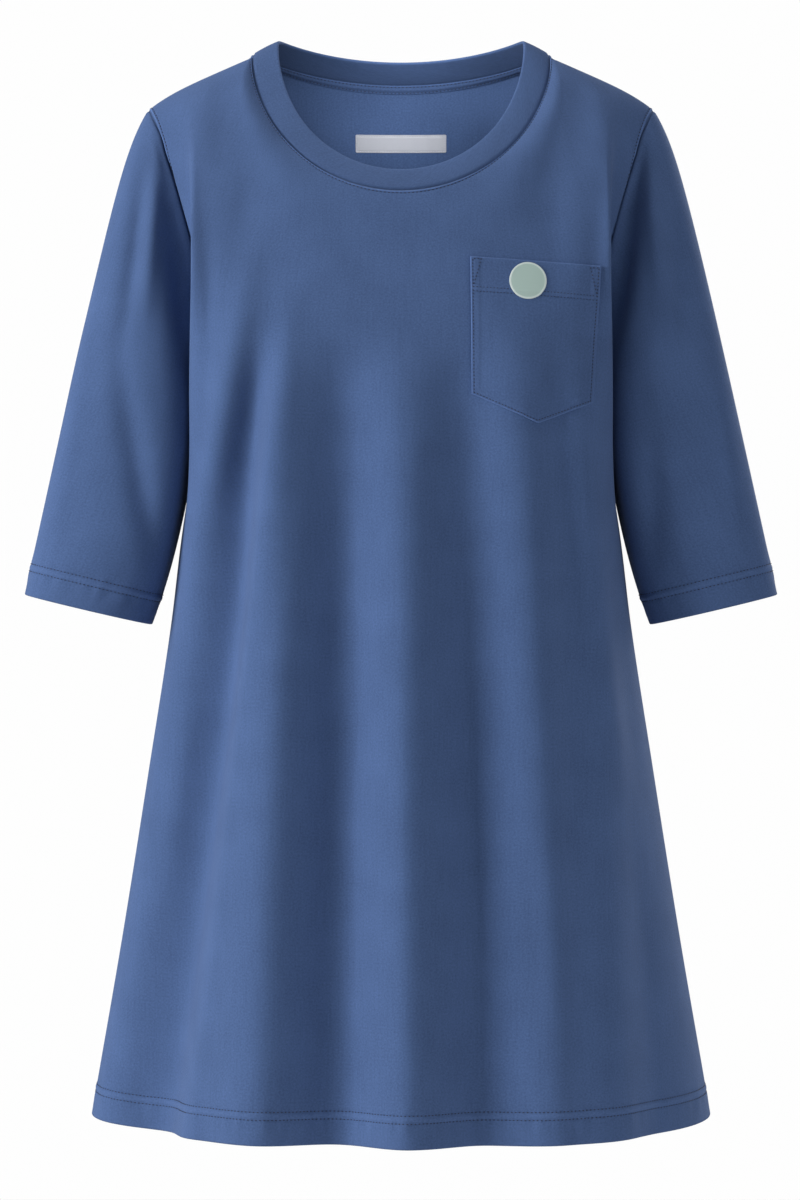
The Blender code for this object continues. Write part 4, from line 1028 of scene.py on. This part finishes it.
label_x = LABEL_HALF_WIDTH * (2 * crowded_ends(LABEL_COLUMNS) - 1)
label_z = LABEL_FOOT + (LABEL_TOP - LABEL_FOOT) * crowded_ends(LABEL_ROWS)
x, z = np.meshgrid(label_x, label_z)
middle = (LABEL_TOP + LABEL_FOOT) / 2
half_height = (LABEL_TOP - LABEL_FOOT) / 2
corner_x = np.clip((np.abs(x) - LABEL_HALF_WIDTH + LABEL_CORNER) / LABEL_CORNER, 0, 1)
corner_z = np.clip((np.abs(z - middle) - half_height + LABEL_CORNER) / LABEL_CORNER, 0, 1)
x = x - np.sign(x) * LABEL_CORNER * (1 - np.sqrt(1 - corner_z**2 / 2)) * corner_x
z = z - np.sign(z - middle) * LABEL_CORNER * (1 - np.sqrt(1 - corner_x**2 / 2)) * corner_z
label_base = laid_on(back_cloth, np.stack([x, z], axis=-1), INSIDE)
label_ways = grid_normals(label_base, 1)
from_end, from_long = from_both(label_base, 1), from_both(label_base, 0)
from_edge = np.minimum(from_end, from_long)
ripple = LABEL_RIPPLE * np.sin(x / LABEL_RIPPLE_SIZE) * ease(from_edge / LABEL_RIPPLE_FADE)
dip = LABEL_DIP * line_of(from_edge, LABEL_STITCH, LABEL_DIP_WIDTH)
edge = rounded_edge(from_edge, LABEL_WALL)
label_inner = label_base + SEAM_GAP * label_ways
label_outer = label_inner + (LABEL_WALL + ripple - dip - edge)[..., None] * label_ways
label_uv = np.stack([lengths(label_base, 1), lengths(label_base, 0)], axis=-1)
label = cloth_piece("name_label_strip", label_outer, label_inner, label_uv, 0)


def label_material():
    """Satin: fine floating warps across the strip, a little shiny."""
    made, tree, shader = new_material("pale_satin_label")
    uv = tree.nodes.new("ShaderNodeTexCoord").outputs["UV"]
    threads = noise(tree, mapped(tree, uv, (500.0, 3200.0, 1.0)), 1.0, 2.0)
    tree.links.new(mix(tree, threads, LABEL_SHADE, LABEL_PALE), shader.inputs["Base Color"])
    tree.links.new(bump(tree, threads, 0.4, 0.0001), shader.inputs["Normal"])
    shader.inputs["Roughness"].default_value = 0.5
    shader.inputs["Sheen Weight"].default_value = 0.2
    return made


label.data.materials.append(label_material())
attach(label, "root")
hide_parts("name_label")
row = np.argmin(np.abs(from_long[:, LABEL_COLUMNS // 2] - LABEL_STITCH)[:LABEL_ROWS // 2])
column = np.argmin(np.abs(from_end[LABEL_ROWS // 2] - LABEL_STITCH)[:LABEL_COLUMNS // 2])
along, upright = slice(column, -column), slice(row, -row)
label_edges = ((row, along), (-1 - row, along), (upright, column), (upright, -1 - column))
label_lines = [(label_outer[line], label_ways[line]) for line in label_edges]
pale_thread = thread_material("pale_thread", (0.50, 0.52, 0.60, 1))
sew("name_label_stitching", label_lines, pale_thread, pitch=0.0022, length=0.0017, radius=0.00016)


# ---- The studio -------------------------------------------------------------------------------
# A plain pale floor well below the hem, a broad soft key from the front left, weak fills for the
# other sides, and white all round.

FLOOR_HEIGHT, FLOOR_WIDTH, FLOOR_GREY = -1.40, 4.2, (0.88, 0.88, 0.88, 1)

bpy.ops.object.select_all(action="DESELECT")
bpy.ops.mesh.primitive_plane_add(size=FLOOR_WIDTH, location=(0, 0, FLOOR_HEIGHT))
floor = bpy.context.object
floor.name = "studio_floor"
pale_floor, _, shader = new_material("pale_floor")
shader.inputs["Base Color"].default_value = FLOOR_GREY
shader.inputs["Roughness"].default_value = 0.7
floor.data.materials.append(pale_floor)

BODY_MIDDLE = (0.0, 0.0, -0.45)
# name, place, width, strength in watts
LAMPS = (
    ("key", (-3.00, -1.28, 0.6), 1.2, 118.0),
    ("fill", (2.4, -1.7, 0.2), 1.6, 18.0),
    ("top", (0.0, 0.3, 2.4), 2.0, 25.0),
    ("back", (1.8, 2.6, 0.8), 1.8, 60.0),
)


def add_lamp(name, kind, place, aim, strength):
    """A lamp at its place, turned towards what it lights."""
    bpy.ops.object.light_add(type=kind, location=place)
    lamp = bpy.context.object
    lamp.name, lamp.data.energy = f"studio_{name}", strength
    x, y, z = (b - a for a, b in zip(place, aim))
    lamp.rotation_euler = (math.atan2(math.hypot(x, y), -z), 0, math.atan2(-x, y))
    return lamp.data


for name, place, width, strength in LAMPS:
    lamp = add_lamp(name, "AREA", place, BODY_MIDDLE, strength)
    lamp.shape, lamp.size = "SQUARE", width

# A soft spot from above the camera lights the inside of the neck
NECK_SPOT_PLACE, NECK_MIDDLE, NECK_SPOT_WATTS = (0.0, -1.80, 0.25), (0.0, 0.08, -0.020), 165.0
NECK_SPOT_ANGLE, NECK_SPOT_RADIUS = 0.112, 0.06

spot = add_lamp("neck", "SPOT", NECK_SPOT_PLACE, NECK_MIDDLE, NECK_SPOT_WATTS)
spot.spot_size, spot.spot_blend, spot.shadow_soft_size = NECK_SPOT_ANGLE, 1.0, NECK_SPOT_RADIUS

WORLD_SHOWN, WORLD_LIGHT, WORLD_WHITE = 1.0, 0.22, (0.99, 0.99, 0.99, 1)

world = bpy.data.worlds.new("studio")
bpy.context.scene.world = world
world.use_nodes = True
tree = world.node_tree
direct = tree.nodes.new("ShaderNodeLightPath").outputs["Is Camera Ray"]
strength = math_node(tree, "MULTIPLY_ADD", direct, WORLD_SHOWN - WORLD_LIGHT, WORLD_LIGHT)
tree.nodes["Background"].inputs["Color"].default_value = WORLD_WHITE
tree.links.new(strength, tree.nodes["Background"].inputs["Strength"])
bpy.context.scene.view_settings.view_transform = "Standard"

# The photograph is 800 x 1200, with 0.85 mm to a pixel at the shoulders, taken level from 2.5 m
PHOTO_HEIGHT, PIXEL = 1200, 0.00085
CAMERA_AWAY, CAMERA_X, CAMERA_Z = 2.5, -0.00085, -0.4616
FRAME_HEIGHT = PHOTO_HEIGHT * PIXEL

bpy.ops.object.camera_add(location=(CAMERA_X, -CAMERA_AWAY, CAMERA_Z), rotation=(math.pi / 2, 0, 0))
camera = bpy.context.object
camera.data.lens = camera.data.sensor_width * CAMERA_AWAY / FRAME_HEIGHT
bpy.context.scene.camera = camera
